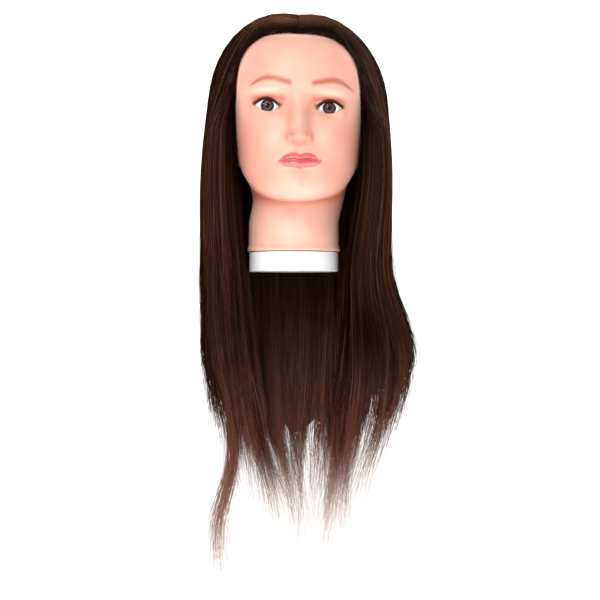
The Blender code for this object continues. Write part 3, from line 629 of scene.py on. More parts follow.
def eye_white_material():
    n = Nodes("eye_white_look")
    veins = n.remap(n.noise(n.position(), 300.0, 6.0, 0.7), 0.56, 0.72)
    n.set(
        Base_Color=n.mix(veins, srgb(250, 248, 248), srgb(244, 228, 224)),
        Roughness=0.12,
        Coat_Weight=0.6,
        Coat_Roughness=0.05,
        Subsurface_Weight=0.1,
        Subsurface_Scale=0.002,
    )
    return n.material


def iris_material():
    """Rings and fine spokes, from each point's share of the radius and its angle."""
    n = Nodes("iris_look")
    far = n.value("radius_share")
    spokes = n.remap(n.noise(n.value("spoke", "Vector"), 9.0, 4.0), 0.3, 0.7)
    body = n.mix(spokes, srgb(78, 58, 52), srgb(108, 88, 80))
    dark_rim = n.mix(n.remap(far, 0.62, 0.86), body, srgb(14, 9, 9))
    pupil = n.mix(n.remap(far, 0.42, 0.34), dark_rim, srgb(6, 4, 4))
    n.set(Base_Color=pupil, Roughness=0.5, Specular_IOR_Level=0.1)
    return n.material


def cornea_material():
    n = Nodes("cornea_look")
    n.set(Base_Color=(1, 1, 1, 1), Roughness=0.03, Transmission_Weight=1.0, IOR=1.25)
    return n.material


def lash_material():
    n = Nodes("lash_look")
    n.set(Base_Color=srgb(66, 34, 26), Roughness=0.7, Specular_IOR_Level=0.05)
    return n.material


def hair_colour(n, tone):
    """Dark brown at the roots and lighter, redder brown towards the tips, and lighter on the crown
    as a painted highlight, varied by tone.
    """
    drop = n.value("drop")
    dark = n.mix(drop, srgb(19, 10, 8), srgb(92, 47, 31))
    light = n.mix(drop, srgb(112, 68, 52), srgb(206, 142, 110))
    return n.mix(tone, dark, light)


def strand_material():
    n = Nodes("hair_strands_look")
    colour = hair_colour(n, n.value("tone"))
    colour = n.mix(n.times(n.value("tip"), 0.9), colour, srgb(208, 180, 168))
    # Painted shadow on hair beside the face and over the forehead, and a darker patch low on the
    # right.
    colour = n.mix(n.times(n.value("dark"), 0.85), colour, srgb(16, 8, 6))
    n.set(Base_Color=colour, Roughness=0.5, Specular_IOR_Level=0.05,
          Specular_Tint=srgb(220, 150, 110))
    return n.material


def mass_material():
    n = Nodes("hair_mass_look")
    streaks = n.remap(n.noise(n.value("streak", "Vector"), 6.0, 6.0, 0.65), 0.32, 0.68)
    # Painted shade: the mass under the strands is darkened most of the way to near black, for the
    # shade deep inside the hair.
    colour = n.mix(0.7, hair_colour(n, streaks), srgb(18, 9, 8))
    n.set(Base_Color=colour, Roughness=0.9, Specular_IOR_Level=0.05)
    return n.material


# ---- Face colour masks -------------------------------------------

# The painted brows: distance from the middle, height of the stroke's centre, half its width.
BROW_X = (10, 20, 30, 38, 47, 57)
BROW_Z = (198.4, 200.6, 203.2, 203.8, 201.2, 195.6)
BROW_HALF_X = (10, 16, 26, 38, 48, 57)
BROW_HALF = (4.3, 5.2, 5.4, 4.9, 3.6, 1.5)
# The shade under the jaw: the ring it is deepest on, and its reach below and above that ring.
JAW_RING = 4.35
JAW_REACH = (1.35, 0.85)


def brow_mask(x, z):
    """The two brows: tapering strokes through inner end, peak and outer end."""
    out = np.abs(x - BROW_SHIFT)
    centre = smooth_through(out, BROW_X, BROW_Z)
    half = smooth_through(out, BROW_HALF_X, BROW_HALF)
    body = smoothstep(1.1, 0.0, np.abs(z - centre) / half)
    return body * smoothstep(8.5, 13.0, out) * smoothstep(59.0, 52.0, out)


def liner_mask(x, z):
    """The liner round the opening of each eye, strong above it and faint below."""
    gap = aperture(x, z)
    upper = smoothstep(EYE_Z - 1.5, EYE_Z + 2.0, z)
    line = upper * smoothstep(-4.6, -2.0, gap) + (1 - upper) * 0.5 * smoothstep(-1.2, -0.3, gap)
    return line * smoothstep(EYE_HALF + 3.6, EYE_HALF, np.abs(np.abs(x) - EYE_X))


def face_masks(theta, t, x, z):
    """Values from 0 to 1 that say where the painted and tinted areas of the skin are, and where
    shade and highlights are painted into its colour.
    """
    nose_x, nose_z = nose_place(x, z)
    mouth_x = x - MOUTH_SHIFT
    lip_line = lip_edges(mouth_x)[1]
    # Painted shade along the line between the lips, beside the nose's ridge and under the jaw.
    parting = 0.5 * hump(z - lip_line, 0.8) * (np.abs(mouth_x) < MOUTH_HALF + 1)
    beside_ridge = np.abs(nose_x) - 8.0 - 0.07 * (190 - z)
    nose_sides = 0.26 * hump(beside_ridge, 5.0) * hump(z - 162, 24)
    jaw = 0.95 * hump(t - JAW_RING, np.where(t < JAW_RING, *JAW_REACH))
    masks = {
        "lips": lip_mask(mouth_x, z),
        "brow": brow_mask(x, z),
        "liner": liner_mask(x, z),
        "shade": (bumps(SHADE_SPOTS, x, z) + bumps(NOSE_SHADE_SPOTS, nose_x, nose_z)
                  + nose_sides + parting + jaw),
        "blush_and_painted_shade": bumps(BLUSH_SPOTS, x, z) + bumps(NOSE_TIP_BLUSH_AND_PAINTED_SHADE, nose_x, nose_z),
        "pale": bumps(PAINTED_HIGHLIGHT_SPOTS, x, z) + bumps(NOSE_PAINTED_HIGHLIGHT_SPOTS, nose_x, z),
    }
    front = smoothstep(0.1, 0.3, np.cos(theta))
    return {label: np.clip(mask, 0, 1) * front for label, mask in masks.items()}


# ---- Hairline ----------------------------------------------------

def corner_curve(share):
    """Falls from 1 to 0 over share 0 to 1, along the hairline's rounded corner."""
    return (1 - np.clip(share, 0, 1) ** HAIRLINE_SQUARE) ** (1 / HAIRLINE_SQUARE)


def front_edge(z):
    """The angle where the hair begins, at height z: further back beside the cheek."""
    temple = TEMPLE_DEG + CHEEK_BACK_DEG * smoothstep(*CHEEK_BACK_Z, z)
    return np.radians(temple) * corner_curve((z - (HAIRLINE_Z - HAIRLINE_CORNER)) / HAIRLINE_CORNER)


def hairline_drop(share):
    """How far the hairline falls below its middle, at a share of the way to the temple's angle."""
    return HAIRLINE_CORNER * (1 - corner_curve(share))


def hairline_rim(theta, z):
    """A thin pale band just inside the hairline."""
    beside = (front_edge(z) - np.abs(theta)) * 72.0
    side = hump(beside - 1.0, 1.2) * (z > 150)
    top = hump(HAIRLINE_Z - 1.4 - z, 1.2) * (np.abs(theta) < 0.75)
    return 0.8 * np.maximum(side, top)


# ---- Head --------------------------------------------------------

# The skin's rows of points: how many between these ring positions, closest on the face.
SKIN_ROWS = ((0, 3, 25), (3, 6, 33), (6, 13.2, 189), (13.2, 16, 25), (16, 18.9, 13))
SKIN_COLUMNS = 300


def make_skin(material):
    turn = np.linspace(-1.0, 1.0, SKIN_COLUMNS, endpoint=False)
    turn = math.pi * (0.3 * turn + 0.7 * turn**3)
    rows = [np.linspace(low, high, count, endpoint=False) for low, high, count in SKIN_ROWS]
    rows = np.append(np.concatenate(rows), SKIN_ROWS[-1][1])
    theta, t = np.meshgrid(turn, rows)
    x, _, z = np.moveaxis(head_form(theta, t), -1, 0)
    masks = face_masks(theta, t, x, z)
    masks["pale"] = np.clip(masks["pale"] + hairline_rim(theta, z), 0, 1)

    points = settled(carved(theta, t))
    foot_in = points[0] * np.array([FOOT_SCALE, FOOT_SCALE, 1.0]) + np.array([0, 0, FOOT_LIP])
    foot_up = foot_in + np.array([0, 0, FOOT_UP])
    points = np.concatenate([foot_up[None], foot_in[None], points])
    masks = {label: np.concatenate([mask[:1], mask[:1], mask]) for label, mask in masks.items()}
    skin = grid_object("head_skin_detail", points, material, masks)
    attach(skin, ["head_skin"])
    return skin


def make_eye_white(side, centre, material):
    """The eyeball, with a sunk seat for the iris."""
    polar, turn = np.meshgrid(np.linspace(0, math.pi, 33), around(64), indexing="ij")
    ball = [np.sin(polar) * np.cos(turn), -np.cos(polar), np.sin(polar) * np.sin(turn)]
    ball = np.stack(ball, -1) * EYE_RADII
    hole = IRIS_RADIUS + 0.1
    in_hole = smoothstep(hole, hole - 0.5, np.hypot(ball[..., 0], ball[..., 2]))
    ball[..., 1] += in_hole * (ball[..., 1] < 0) * IRIS_SEAT
    eye = grid_object(f"{side}_eye_white_detail", ball + centre, material)
    attach(eye, [f"{side}_eye_white"])


def make_iris(side, centre, material):
    """A shallow dish with its radius and angle for the material's rings and spokes."""
    share, turn = np.meshgrid(np.linspace(0.02, 1, 16), around(72), indexing="ij")
    front = -(EYE_RADII[1] - IRIS_BEHIND + IRIS_DISH * share)
    dish = [share * IRIS_RADIUS * np.cos(turn), front, share * IRIS_RADIUS * np.sin(turn)]
    iris = grid_object(f"{side}_iris_detail", np.stack(dish, -1) + centre, material,
                       {"radius_share": share})
    add_vectors(iris, "spoke", np.cos(turn) * IRIS_SPOKES, np.sin(turn) * IRIS_SPOKES,
                share * 0.35)
    attach(iris, [f"{side}_iris"])


def make_cornea(side, centre, material):
    """A clear dome over the iris, a little proud of the eyeball."""
    rim = EYE_RADII[1] * math.sqrt(1 - (IRIS_RADIUS / EYE_RADII[2]) ** 2) + 0.1
    rise = EYE_RADII[1] + CORNEA_PROUD - rim
    middle = 0.02
    profile = [(max(IRIS_RADIUS * math.sin(a), middle), rim + rise * math.cos(a))
               for a in np.linspace(0, RIGHT_ANGLE, 12)]
    profile += [(IRIS_RADIUS, EYE_RADII[1] - 1.1), (middle, EYE_RADII[1] - 1.3)]
    dome = turned(f"{side}_cornea_detail", profile, material, 64, centre, face_front=True)
    attach(dome, [f"{side}_cornea"])


def make_eyes(white, iris_look, cornea_look):
    for side, sign in SIDES:
        centre = settled(np.array([sign * EYE_X, EYE_Y, EYE_Z]))
        make_eye_white(side, centre, white)
        make_iris(side, centre, iris_look)
        make_cornea(side, centre, cornea_look)


def make_lashes(material):
    """A fan of upper lashes along the edge of each upper lid, longer towards its outer end."""
    rng = np.random.default_rng(SEED)
    count, steps = 46, 6
    u = np.linspace(0, 1, steps)
    for side, sign in SIDES:
        along = np.linspace(-0.9, 0.93, count) + rng.uniform(-0.01, 0.01, count)
        x = sign * EYE_X + along * EYE_HALF
        outer = sign * along
        z = EYE_Z + LID_TOP * np.sqrt(1 - along**2) ** LID_TOP_ROUNDNESS + LID_SLANT * outer
        roots = np.stack([x, lid_front(x, z, LID_STAND - 0.6), z], -1)
        length = (3.6 + 2.0 * smoothstep(-0.3, 0.9, outer)) * rng.uniform(0.8, 1.1, count)
        fan = (along * 0.55)[:, None] * u
        forward = np.broadcast_to(-(u - 0.25 * u**2), fan.shape)
        lift = np.broadcast_to(0.05 * u + 0.55 * u**2, fan.shape)
        paths = roots[:, None] + length[:, None, None] * np.stack([fan, forward, lift], -1)
        half_widths = np.broadcast_to(0.24 * (1 - 0.8 * u), (count, steps))
        lashes = strands(f"{side}_lashes_detail", settled(paths), half_widths, material, {})
        attach(lashes, [f"{side}_lashes"])


# The neck base: a collar below the skin and a hollow plug inside it, round the socket's hole.
COLLAR_TOP, COLLAR_CORNER = 21.3, 1.0
COLLAR_INSIDE, COLLAR_SHOULDER = 46.0, (14.0, 20.0)
PLUG_RADIUS, PLUG_TOP = 43.6, 48.0
WALL = 3.5
HOLE_RADIUS = 16.0


def make_base(material):
    low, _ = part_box("neck_base")
    radius = -low.x / MM
    bend = np.linspace(0, RIGHT_ANGLE, 6)
    flat = radius - COLLAR_CORNER
    profile = [(HOLE_RADIUS, 0.0), (radius - 3 * COLLAR_CORNER, 0.0)]
    profile += [(flat + COLLAR_CORNER * math.sin(a), COLLAR_CORNER * (1 - math.cos(a)))
                for a in bend]
    profile += [(flat + COLLAR_CORNER * math.cos(a), COLLAR_TOP - COLLAR_CORNER * (1 - math.sin(a)))
                for a in bend]
    profile += [(PLUG_RADIUS, COLLAR_TOP), (PLUG_RADIUS, PLUG_TOP), (PLUG_RADIUS - WALL, PLUG_TOP)]
    profile += [(PLUG_RADIUS - WALL, COLLAR_SHOULDER[1]), (COLLAR_INSIDE, COLLAR_SHOULDER[0])]
    profile += [(COLLAR_INSIDE, WALL), (HOLE_RADIUS, WALL), (HOLE_RADIUS, 0.0)]
    base = turned("neck_base_detail", profile, material, 128)
    attach(base, ["neck_base"])


# ---- Hair --------------------------------------------------------

# Thickness of the hair over the scalp at each height, and the share of it that the mass fills.
DEPTH_Z = (150, 180, 203, 225, 247, 270, 289)
DEPTH = (30, 29, 26, 20.5, 15, 12, 10.5)
MASS_LAYER = 0.4
CROWN_CENTRE = np.array((0.0, 8.0, 190.0))

# The hanging hair's outline at each height: z, lowest x, highest x, front y, back y.
LEFT_LEVELS = np.array([
    (180, -98.0, -66.0, -42, 76), (141, -101.5, -61.0, -47, 82), (112, -103.5, -61.0, -50, 84),
    (90, -104.5, -60.0, -50, 84), (60, -104.5, -57.0, -47, 82), (20, -103.0, -54.0, -41, 78),
    (0, -102.5, -52.0, -38, 76), (-60, -101.0, -47.0, -26, 68), (-110, -96.5, -44.0, -18, 60),
    (-155, -88.0, -42.0, -10, 52), (-200, -81.0, -42.0, -4, 46), (-250, -72.0, -42.0, 0, 36),
])
RIGHT_LEVELS = np.array([
    (180, 76.0, 105.0, -42, 76), (141, 72.0, 109.0, -47, 82), (112, 72.0, 110.0, -50, 84),
    (90, 70.0, 110.0, -50, 84), (60, 65.0, 108.5, -47, 82), (20, 58.0, 106.0, -41, 78),
    (0, 56.0, 105.5, -38, 76), (-20, 55.0, 109.5, -34, 74), (-43, 54.0, 118.0, -30, 70),
    (-66, 53.0, 125.5, -26, 67), (-88, 52.0, 130.5, -22, 64), (-120, 50.0, 130.0, -18, 60),
    (-155, 47.0, 124.0, -12, 54), (-200, 44.0, 112.0, -6, 46), (-250, 40.0, 96.0, -2, 38),
])
BACK_LEVELS = np.array([
    (180, -86.0, 95.0, 86, 118), (137, -88.0, 97.0, 88, 118), (90, -88.0, 97.0, 86, 114),
    (0, -86.0, 95.0, 80, 110), (-30, -84.0, 94.0, 72, 106), (-60, -82.0, 92.0, 60, 102),
    (-100, -78.0, 88.0, 50, 97), (-155, -73.0, 82.0, 44, 90), (-200, -66.0, 74.0, 40, 82),
    (-250, -54.0, 62.0, 38, 74), (-300, -42.0, 50.0, 36, 64),
])
# Half width of the face and neck beside the hair, by z.
INNER_Z = (-60, 20, 80, 110, 225, 245, 260, 290)
INNER_X = (46, 48, 52, 60, 62, 54, 40, 20)
# How far down the longest locks reach, by x.
REACH_X = (-100, -80, -56, -50, -30, -9, 13, 50, 64, 80, 107, 130)
REACH_Z = (-190, -235, -280, -292, -308, -312, -312, -302, -296, -292, -278, -200)
# How far above its longest strand a lock begins to thin out, by x.
FRAY_X = (40, 95)
FRAY = (130, 175)
# How far the locks' ends drift towards +X, by x.
SWEEP_X = (-80, -50, 0, 40, 80, 120)
SWEEP = (4, 24, 14, 6, -5, -12)
# The trailing lock: its middle line, and how many strands it has.
TAIL_Z = (-110, -190, -215, -250, -285, -320, -356)
TAIL_X = (-74, -68, -69, -77, -86, -87, -82)
TAIL_STRANDS = 330

# Kinds of strand: half thickness, how much they draw into locks, how far their ends stray.
Kind = namedtuple("Kind", "half_width gather stray")
KINDS = {
    "lock": Kind(0.34, 0.72, 2.6),
    "cover": Kind(0.34, 0.72, 2.6),
    "end": Kind(0.3, 0.72, 2.6),
    "wisp": Kind(0.2, 0.25, 8.0),
}
# The pieces of each hanging section: name, kind and number of strands.
SIDE_PARTS = (("strands_a", "lock", 1100), ("strands_b", "lock", 1100), ("cover_a", "cover", 1000),
              ("cover_b", "cover", 1000), ("ends", "end", 1100), ("wisps", "wisp", 450))
BACK_PARTS = (("strands_a", "lock", 1100), ("strands_b", "lock", 1100), ("cover", "cover", 900),
              ("ends_a", "end", 1100), ("ends_b", "end", 1100), ("wisps", "wisp", 900))
# A hanging section: its body, its side (-1, 0 for the back, 1), outline, nodes and make-up.
Section = namedtuple("Section", "body sign levels nodes mass_floor lock_count parts")
SECTIONS = (
    Section("left_hair", -1, LEFT_LEVELS, ["left_front_hair", "left_back_hair"],
            -160.0, 40, SIDE_PARTS),
    Section("right_hair", 1, RIGHT_LEVELS, ["right_front_hair", "right_back_hair"],
            -140.0, 40, SIDE_PARTS),
    Section("back_hair", 0, BACK_LEVELS, ["back_left_hair", "back_right_hair"],
            -186.0, 64, BACK_PARTS),
)
HAIRLINE_COUNT, HAIRLINE_HALF_WIDTH = 700, 0.28
STRAND_POINTS = 26
# How far above and below its joint each bend record reaches.
SECTION_BEND, TAIL_BEND = 28.0, 20.0
# The parting's front and length in disk coordinates, and the azimuth where the back begins.
PARTING_FRONT, PARTING_LENGTH = -0.53, 1.1
BACK_FROM = 1.05
# Where the hair's drift, sweep and locks set in going down, and where they are in full.
DRIFT_Z, SWEEP_Z, CLUMP_Z = (120, -260), (-110, -300), (60, -60)
LOCKS_FROM, CLUMP = -70, 0.10
# How it hangs: the lengths of its sway in x and y, the sway at rest and added by the drift, the
# scatter of single strands, the length of a curling end.
SWAY_LENGTHS = np.array((55.0, 68.0))
SWAY, SWAY_GROWTH = 1.6, 3.0
SCATTER = 0.9
CURL_LENGTH = 110.0
# The spreads between one lock and the next: sideways, in length, in sweep.
LOCK_DRIFT, LOCK_LENGTH, LOCK_SWEEP = 4.5, 15.0, 5.0
# Strands on a section's inner side, beyond this cosine, don't rise over the head.
INNER_SIDE = -0.25
# Tones: the share of bright strands, how the sides are darkened, and how the back is lightened,
# painted light where it lies in the head's shade.
BRIGHT_SHARE = 0.07
SIDE_TONE, BACK_TONE = 0.8, 0.26
# Heights between which strands lighten, pale towards their tips, and thin out, and between which
# the crown is painted lighter as a highlight.
LIGHTEN_Z, TIP_Z, THIN_Z, SHINE_Z = (-50, -300), (-195, -300), (-120, -220), (255, 282)
# The hair's thickness grows over this angle and height from the hairline.
EDGE_ANGLE, EDGE_HEIGHT = 0.42, 16.0
# Rays at the head start this far out. The skin ends at the neck's foot, and strands further
# from it than the search are clear of it.
RAY_START = 300.0
SKIN_FOOT, SKIN_SEARCH = 15.0, 40.0
Bend = namedtuple("Bend", "parent body start end")


def bend_at(joint, reach):
    """A Bend record for two bodies: from reach above their joint to reach below it."""
    x, y, z = joint["pos_m"]
    return Bend(joint["parent"], joint["child"], (x, y, z + reach * MM), (x, y, z - reach * MM))


class Head:
    """The head as surfaces that rays and nearest points can be taken on."""

    def __init__(self, skin):
        rows, columns = 120, 121
        theta, t = np.meshgrid(np.linspace(-math.pi, math.pi, columns),
                               np.linspace(0, TOP_RING, rows))
        points = head_form(theta, t).reshape(-1, 3)
        self.plain = BVHTree.FromPolygons(points.tolist(), grid_faces(rows, columns))
        corners = np.empty(len(skin.data.vertices) * 3, np.float32)
        skin.data.vertices.foreach_get("co", corners)
        polygons = [list(polygon.vertices) for polygon in skin.data.polygons]
        self.real = BVHTree.FromPolygons((corners.reshape(-1, 3) / MM).tolist(), polygons)

    def at(self, directions):
        """Where rays from the crown's centre leave the plain head."""
        centre = Vector(CROWN_CENTRE)
        out = np.empty(directions.shape)
        for place in np.ndindex(directions.shape[:-1]):
            ray = Vector(directions[place]).normalized()
            out[place] = self.plain.ray_cast(centre + ray * RAY_START, -ray)[0]
        return out

    def clear(self, points, gap):
        """The same points, with those nearer the skin than gap moved out to it."""
        flat = points.reshape(-1, 3).copy()
        for i in np.flatnonzero(flat[:, 2] > SKIN_FOOT):
            spot = Vector(flat[i])
            found, normal, _, distance = self.real.find_nearest(spot, SKIN_SEARCH)
            if found is None:
                continue
            outside = (spot - found).dot(normal) > 0
            if not outside or distance < gap:
                flat[i] = found + normal * gap
        return flat.reshape(points.shape)


def hair_depth(theta, z, layer, least):
    """A share of the hair's thickness over the scalp, thinning to least at the hairline."""
    beside = smoothstep(-0.02, EDGE_ANGLE, np.abs(theta) - front_edge(z))
    above = smoothstep(HAIRLINE_Z - 1, HAIRLINE_Z + EDGE_HEIGHT, z)
    return least + (np.interp(z, DEPTH_Z, DEPTH) * layer - least) * np.maximum(beside, above)


def on_disk(points):
    """Disk coordinates of points of the head: its top in the middle, radius 1 at the temples."""
    x, y, z = np.moveaxis(points - CROWN_CENTRE, -1, 0)
    radius = np.arccos(z / np.sqrt(x**2 + y**2 + z**2)) / RIGHT_ANGLE
    azimuth = np.arctan2(x, -y)
    return radius * np.sin(azimuth), -radius * np.cos(azimuth)


def crown_surface(head, p, q, layer):
    """Points over the scalp from disk coordinates, at a share of the hair's depth."""
    polar = np.hypot(p, q) * RIGHT_ANGLE
    azimuth = np.arctan2(p, -q)
    directions = np.stack([np.sin(polar) * np.sin(azimuth), -np.sin(polar) * np.cos(azimuth),
                           np.cos(polar)], -1)
    on_skin = head.at(directions)
    x, y, z = np.moveaxis(on_skin, -1, 0)
    depth = hair_depth(np.arctan2(x, CROWN_CENTRE[1] - y), z, layer, 1.5)
    return settled(on_skin + directions * np.maximum(depth, 1.0)[..., None])


def level_at(levels, z, column):
    return smooth_through(z, levels[::-1, 0], levels[::-1, column])


def oval(levels, z, turn, reach):
    """A point of the hanging hair's cross-section at height z."""
    low, high, front, back = (level_at(levels, z, column) for column in (1, 2, 3, 4))
    across, along = np.cos(turn), np.sin(turn)
    x = (low + high) / 2 + (high - low) / 2 * reach * np.sign(across) * np.abs(across) ** 0.75
    y = (front + back) / 2 + (back - front) / 2 * reach * np.sign(along) * np.abs(along) ** 0.75
    return np.stack([x, y, np.broadcast_to(z, x.shape)], -1)


def resample(paths, count):
    """Each path with count points at even steps of its own length, slightly smoothed."""
    out = np.empty((len(paths), count, 3))
    share = np.linspace(0, 1, count)
    for i, path in enumerate(paths):
        lengths = np.concatenate([[0], np.cumsum(np.linalg.norm(np.diff(path, axis=0), axis=1))])
        for axis in range(3):
            out[i, :, axis] = np.interp(share * lengths[-1], lengths, path[:, axis])
    for _ in range(2):
        out[:, 1:-1] = 0.25 * out[:, :-2] + 0.5 * out[:, 1:-1] + 0.25 * out[:, 2:]
    return out


class Locks:
    """The locks that a hanging section divides into: their places, drifts, tones and ends."""

    def __init__(self, rng, levels, count):
        self.turn = rng.uniform(0, FULL_TURN, count)
        self.reach = np.sqrt(rng.uniform(0.3, 0.95, count))
        self.drift = rng.normal(0, LOCK_DRIFT, (count, 2))
        self.phase = rng.uniform(0, FULL_TURN, (count, 2))
        self.tone = rng.uniform(0, 1, count)
        low_down = np.full(count, -150.0)
        x = oval(levels, low_down, self.turn, self.reach)[:, 0] + self.drift[:, 0]
        self.lowest = np.interp(x, REACH_X, REACH_Z) + rng.normal(0, LOCK_LENGTH, count)
        self.fray = np.interp(x, FRAY_X, FRAY)
        self.sweep = np.interp(x, SWEEP_X, SWEEP) + rng.normal(0, LOCK_SWEEP, count)

    def nearest(self, turn, reach):
        apart = np.abs(np.angle(np.exp(1j * (turn[:, None] - self.turn[None]))))
        return np.argmin(apart + 0.8 * np.abs(reach[:, None] - self.reach[None]), axis=1)


def hairline_on_disk():
    """The hairline and the temple's edge in disk coordinates: q at each p."""
    share = np.linspace(0, 1, 24)
    temple_z = np.linspace(HAIRLINE_Z - HAIRLINE_CORNER - 4, 195, 6)
    theta = np.append(np.radians(TEMPLE_DEG) * share, front_edge(temple_z))
    z = np.append(HAIRLINE_Z - hairline_drop(share), temple_z)
    t = np.array([ring_at(angle, height) for angle, height in zip(theta, z)])
    return on_disk(head_form(theta, t))


def crown_paths(head, rng, azimuth, layer, steps=11):
    """Paths over the head from the parting, round to each azimuth at the temples' level."""
    count = len(azimuth)
    side = np.sign(azimuth)[:, None]
    back = np.clip((np.abs(azimuth) - BACK_FROM) / (math.pi - BACK_FROM), 0, 1)[:, None]
    root_p = side * rng.uniform(0.002, 0.016, (count, 1))
    root_q = PARTING_FRONT + PARTING_LENGTH * back**0.8 + rng.normal(0, 0.03, (count, 1))
    root_q = np.maximum(root_q, PARTING_FRONT - 0.015)
    end_p, end_q = np.sin(azimuth)[:, None], -np.cos(azimuth)[:, None]
    f = np.linspace(0, 1, steps)[None]
    p = hermite(root_p, end_p, side * 0.9 * (1 - 0.55 * back), end_p * 0.7, f)
    q = hermite(root_q, end_q, -0.08 + 0.55 * back, end_q * 0.7, f)
    edge_q = np.interp(np.abs(p), *hairline_on_disk()) + rng.uniform(0.0, 0.03, (count, 1))
    q = np.maximum(q, np.where(np.abs(p) < 0.8, edge_q, q))
    rise = smoothstep(-0.05, 0.2, f)
    return crown_surface(head, p, q, layer[:, None] * rise + 0.35 * (1 - rise))


def strand_places(rng, sign, kind, count):
    """Where strands stand in a section's oval: cover on its outside, the rest within it."""
    if kind == "cover":
        facing = {-1: math.pi, 0: RIGHT_ANGLE, 1: 0.0}[sign]
        return facing + rng.uniform(-1.9, 1.9, count), rng.uniform(0.97, 1.03, count)
    return rng.uniform(0, FULL_TURN, count), np.sqrt(rng.uniform(0.55, 1.0, count))


def lowest_points(rng, kind, longest, fray, count):
    """The height of each strand's tip."""
    if kind == "cover":
        return rng.uniform(-110, -10, count)
    if kind == "wisp":
        return longest - rng.uniform(-60, 40, count)
    fullness = 0.4 if kind == "end" else 0.3
    return longest + fray * rng.uniform(0, 1, count) ** fullness


def heights_along(rng, kind, levels, lowest, count):
    """The heights of each strand's points: from the crown's foot, or from low down for ends."""
    if kind == "end":
        top = rng.uniform(-60, -20, count)
        return top[:, None] + (lowest - top)[:, None] * np.linspace(0, 1, 24)
    hang_z = np.linspace(levels[0, 0] - 12, 0, 8)
    below = np.linspace(0, 1, 17)[1:]
    return np.concatenate([np.broadcast_to(hang_z, (count, 8)), lowest[:, None] * below], axis=1)


def panel_strands(head, rng, section, locks, count, kind):
    """Paths of one hanging section's strands, from the parting to the tips, and their tones."""
    sign, levels = section.sign, section.levels
    turn, reach = strand_places(rng, sign, kind, count)
    own = locks.nearest(turn, reach)
    longest = locks.lowest[own]
    lowest = lowest_points(rng, kind, longest, locks.fray[own], count)
    z = heights_along(rng, kind, levels, lowest, count)

    hang = oval(levels, z, turn[:, None], reach[:, None])
    lock = oval(levels, z, locks.turn[own][:, None], locks.reach[own][:, None])
    gather = CLUMP * smoothstep(*CLUMP_Z, z)
    gather += KINDS[kind].gather * smoothstep(LOCKS_FROM, longest[:, None], z)
    hang = hang * (1 - gather[..., None]) + lock * gather[..., None]

    fall = smoothstep(*DRIFT_Z, z)[..., None]
    sway = np.sin(z[..., None] / SWAY_LENGTHS + locks.phase[own][:, None])
    hang[..., :2] += fall * (locks.drift[own][:, None] + (SWAY + SWAY_GROWTH * fall) * sway)
    hang[..., :2] += rng.normal(0, SCATTER, (count, 1, 2)) * (0.4 + 1.6 * fall)
    curl = smoothstep(lowest[:, None] + CURL_LENGTH, lowest[:, None], z)
    wave_length = rng.uniform(26, 44, (count, 1))
    wave = np.sin(z / wave_length + rng.uniform(0, FULL_TURN, (count, 1)))
    hang[..., 0] += curl * (rng.normal(0, KINDS[kind].stray, (count, 1)) + 0.8 * wave)
    hang[..., 0] += locks.sweep[own][:, None] * smoothstep(*SWEEP_Z, z) ** 1.3

    if kind == "end":
        paths = list(hang)
    else:
        azimuth = np.arctan2(hang[:, 0, 0] - SHIFT, CROWN_CENTRE[1] - hang[:, 0, 1])
        outward = (np.cos(turn) * sign if sign else np.sin(turn)) > INNER_SIDE
        crown = crown_paths(head, rng, azimuth, 0.72 + 0.28 * (reach - 0.74) / 0.29)
        paths = [np.concatenate([crown[i], hang[i]]) if outward[i] else hang[i]
                 for i in range(count)]
    tones = np.clip(0.55 * locks.tone[own] + 0.45 * rng.uniform(0, 1, count), 0, 1) ** 2.2
    # The back's tones are raised as painted light where it lies in the head's shade.
    tones = tones * SIDE_TONE if sign else BACK_TONE + (1 - BACK_TONE) * tones
    bright = rng.uniform(0, 1, count) < BRIGHT_SHARE
    return resample(paths, STRAND_POINTS), np.where(bright, 1.0, tones)


def hairline_root(rng, sign, share):
    """A root on the plain head: along the forehead to the temple, then down beside the cheek."""
    corner = 0.6
    if share < corner:
        across = (share / corner) ** 0.9
        theta = math.radians(TEMPLE_DEG) * across
        z = HAIRLINE_Z - float(hairline_drop(across))
    else:
        z = HAIRLINE_Z - HAIRLINE_CORNER - (share - corner) / (1 - corner) * 84.0
        theta = float(front_edge(z)) + 0.02
    theta += rng.uniform(0.0, 0.10) * (0.3 + share)
    z += rng.uniform(0.0, 5.0) * (1 - share)
    return head_form(np.array(sign * theta), np.array(ring_at(theta, z)))


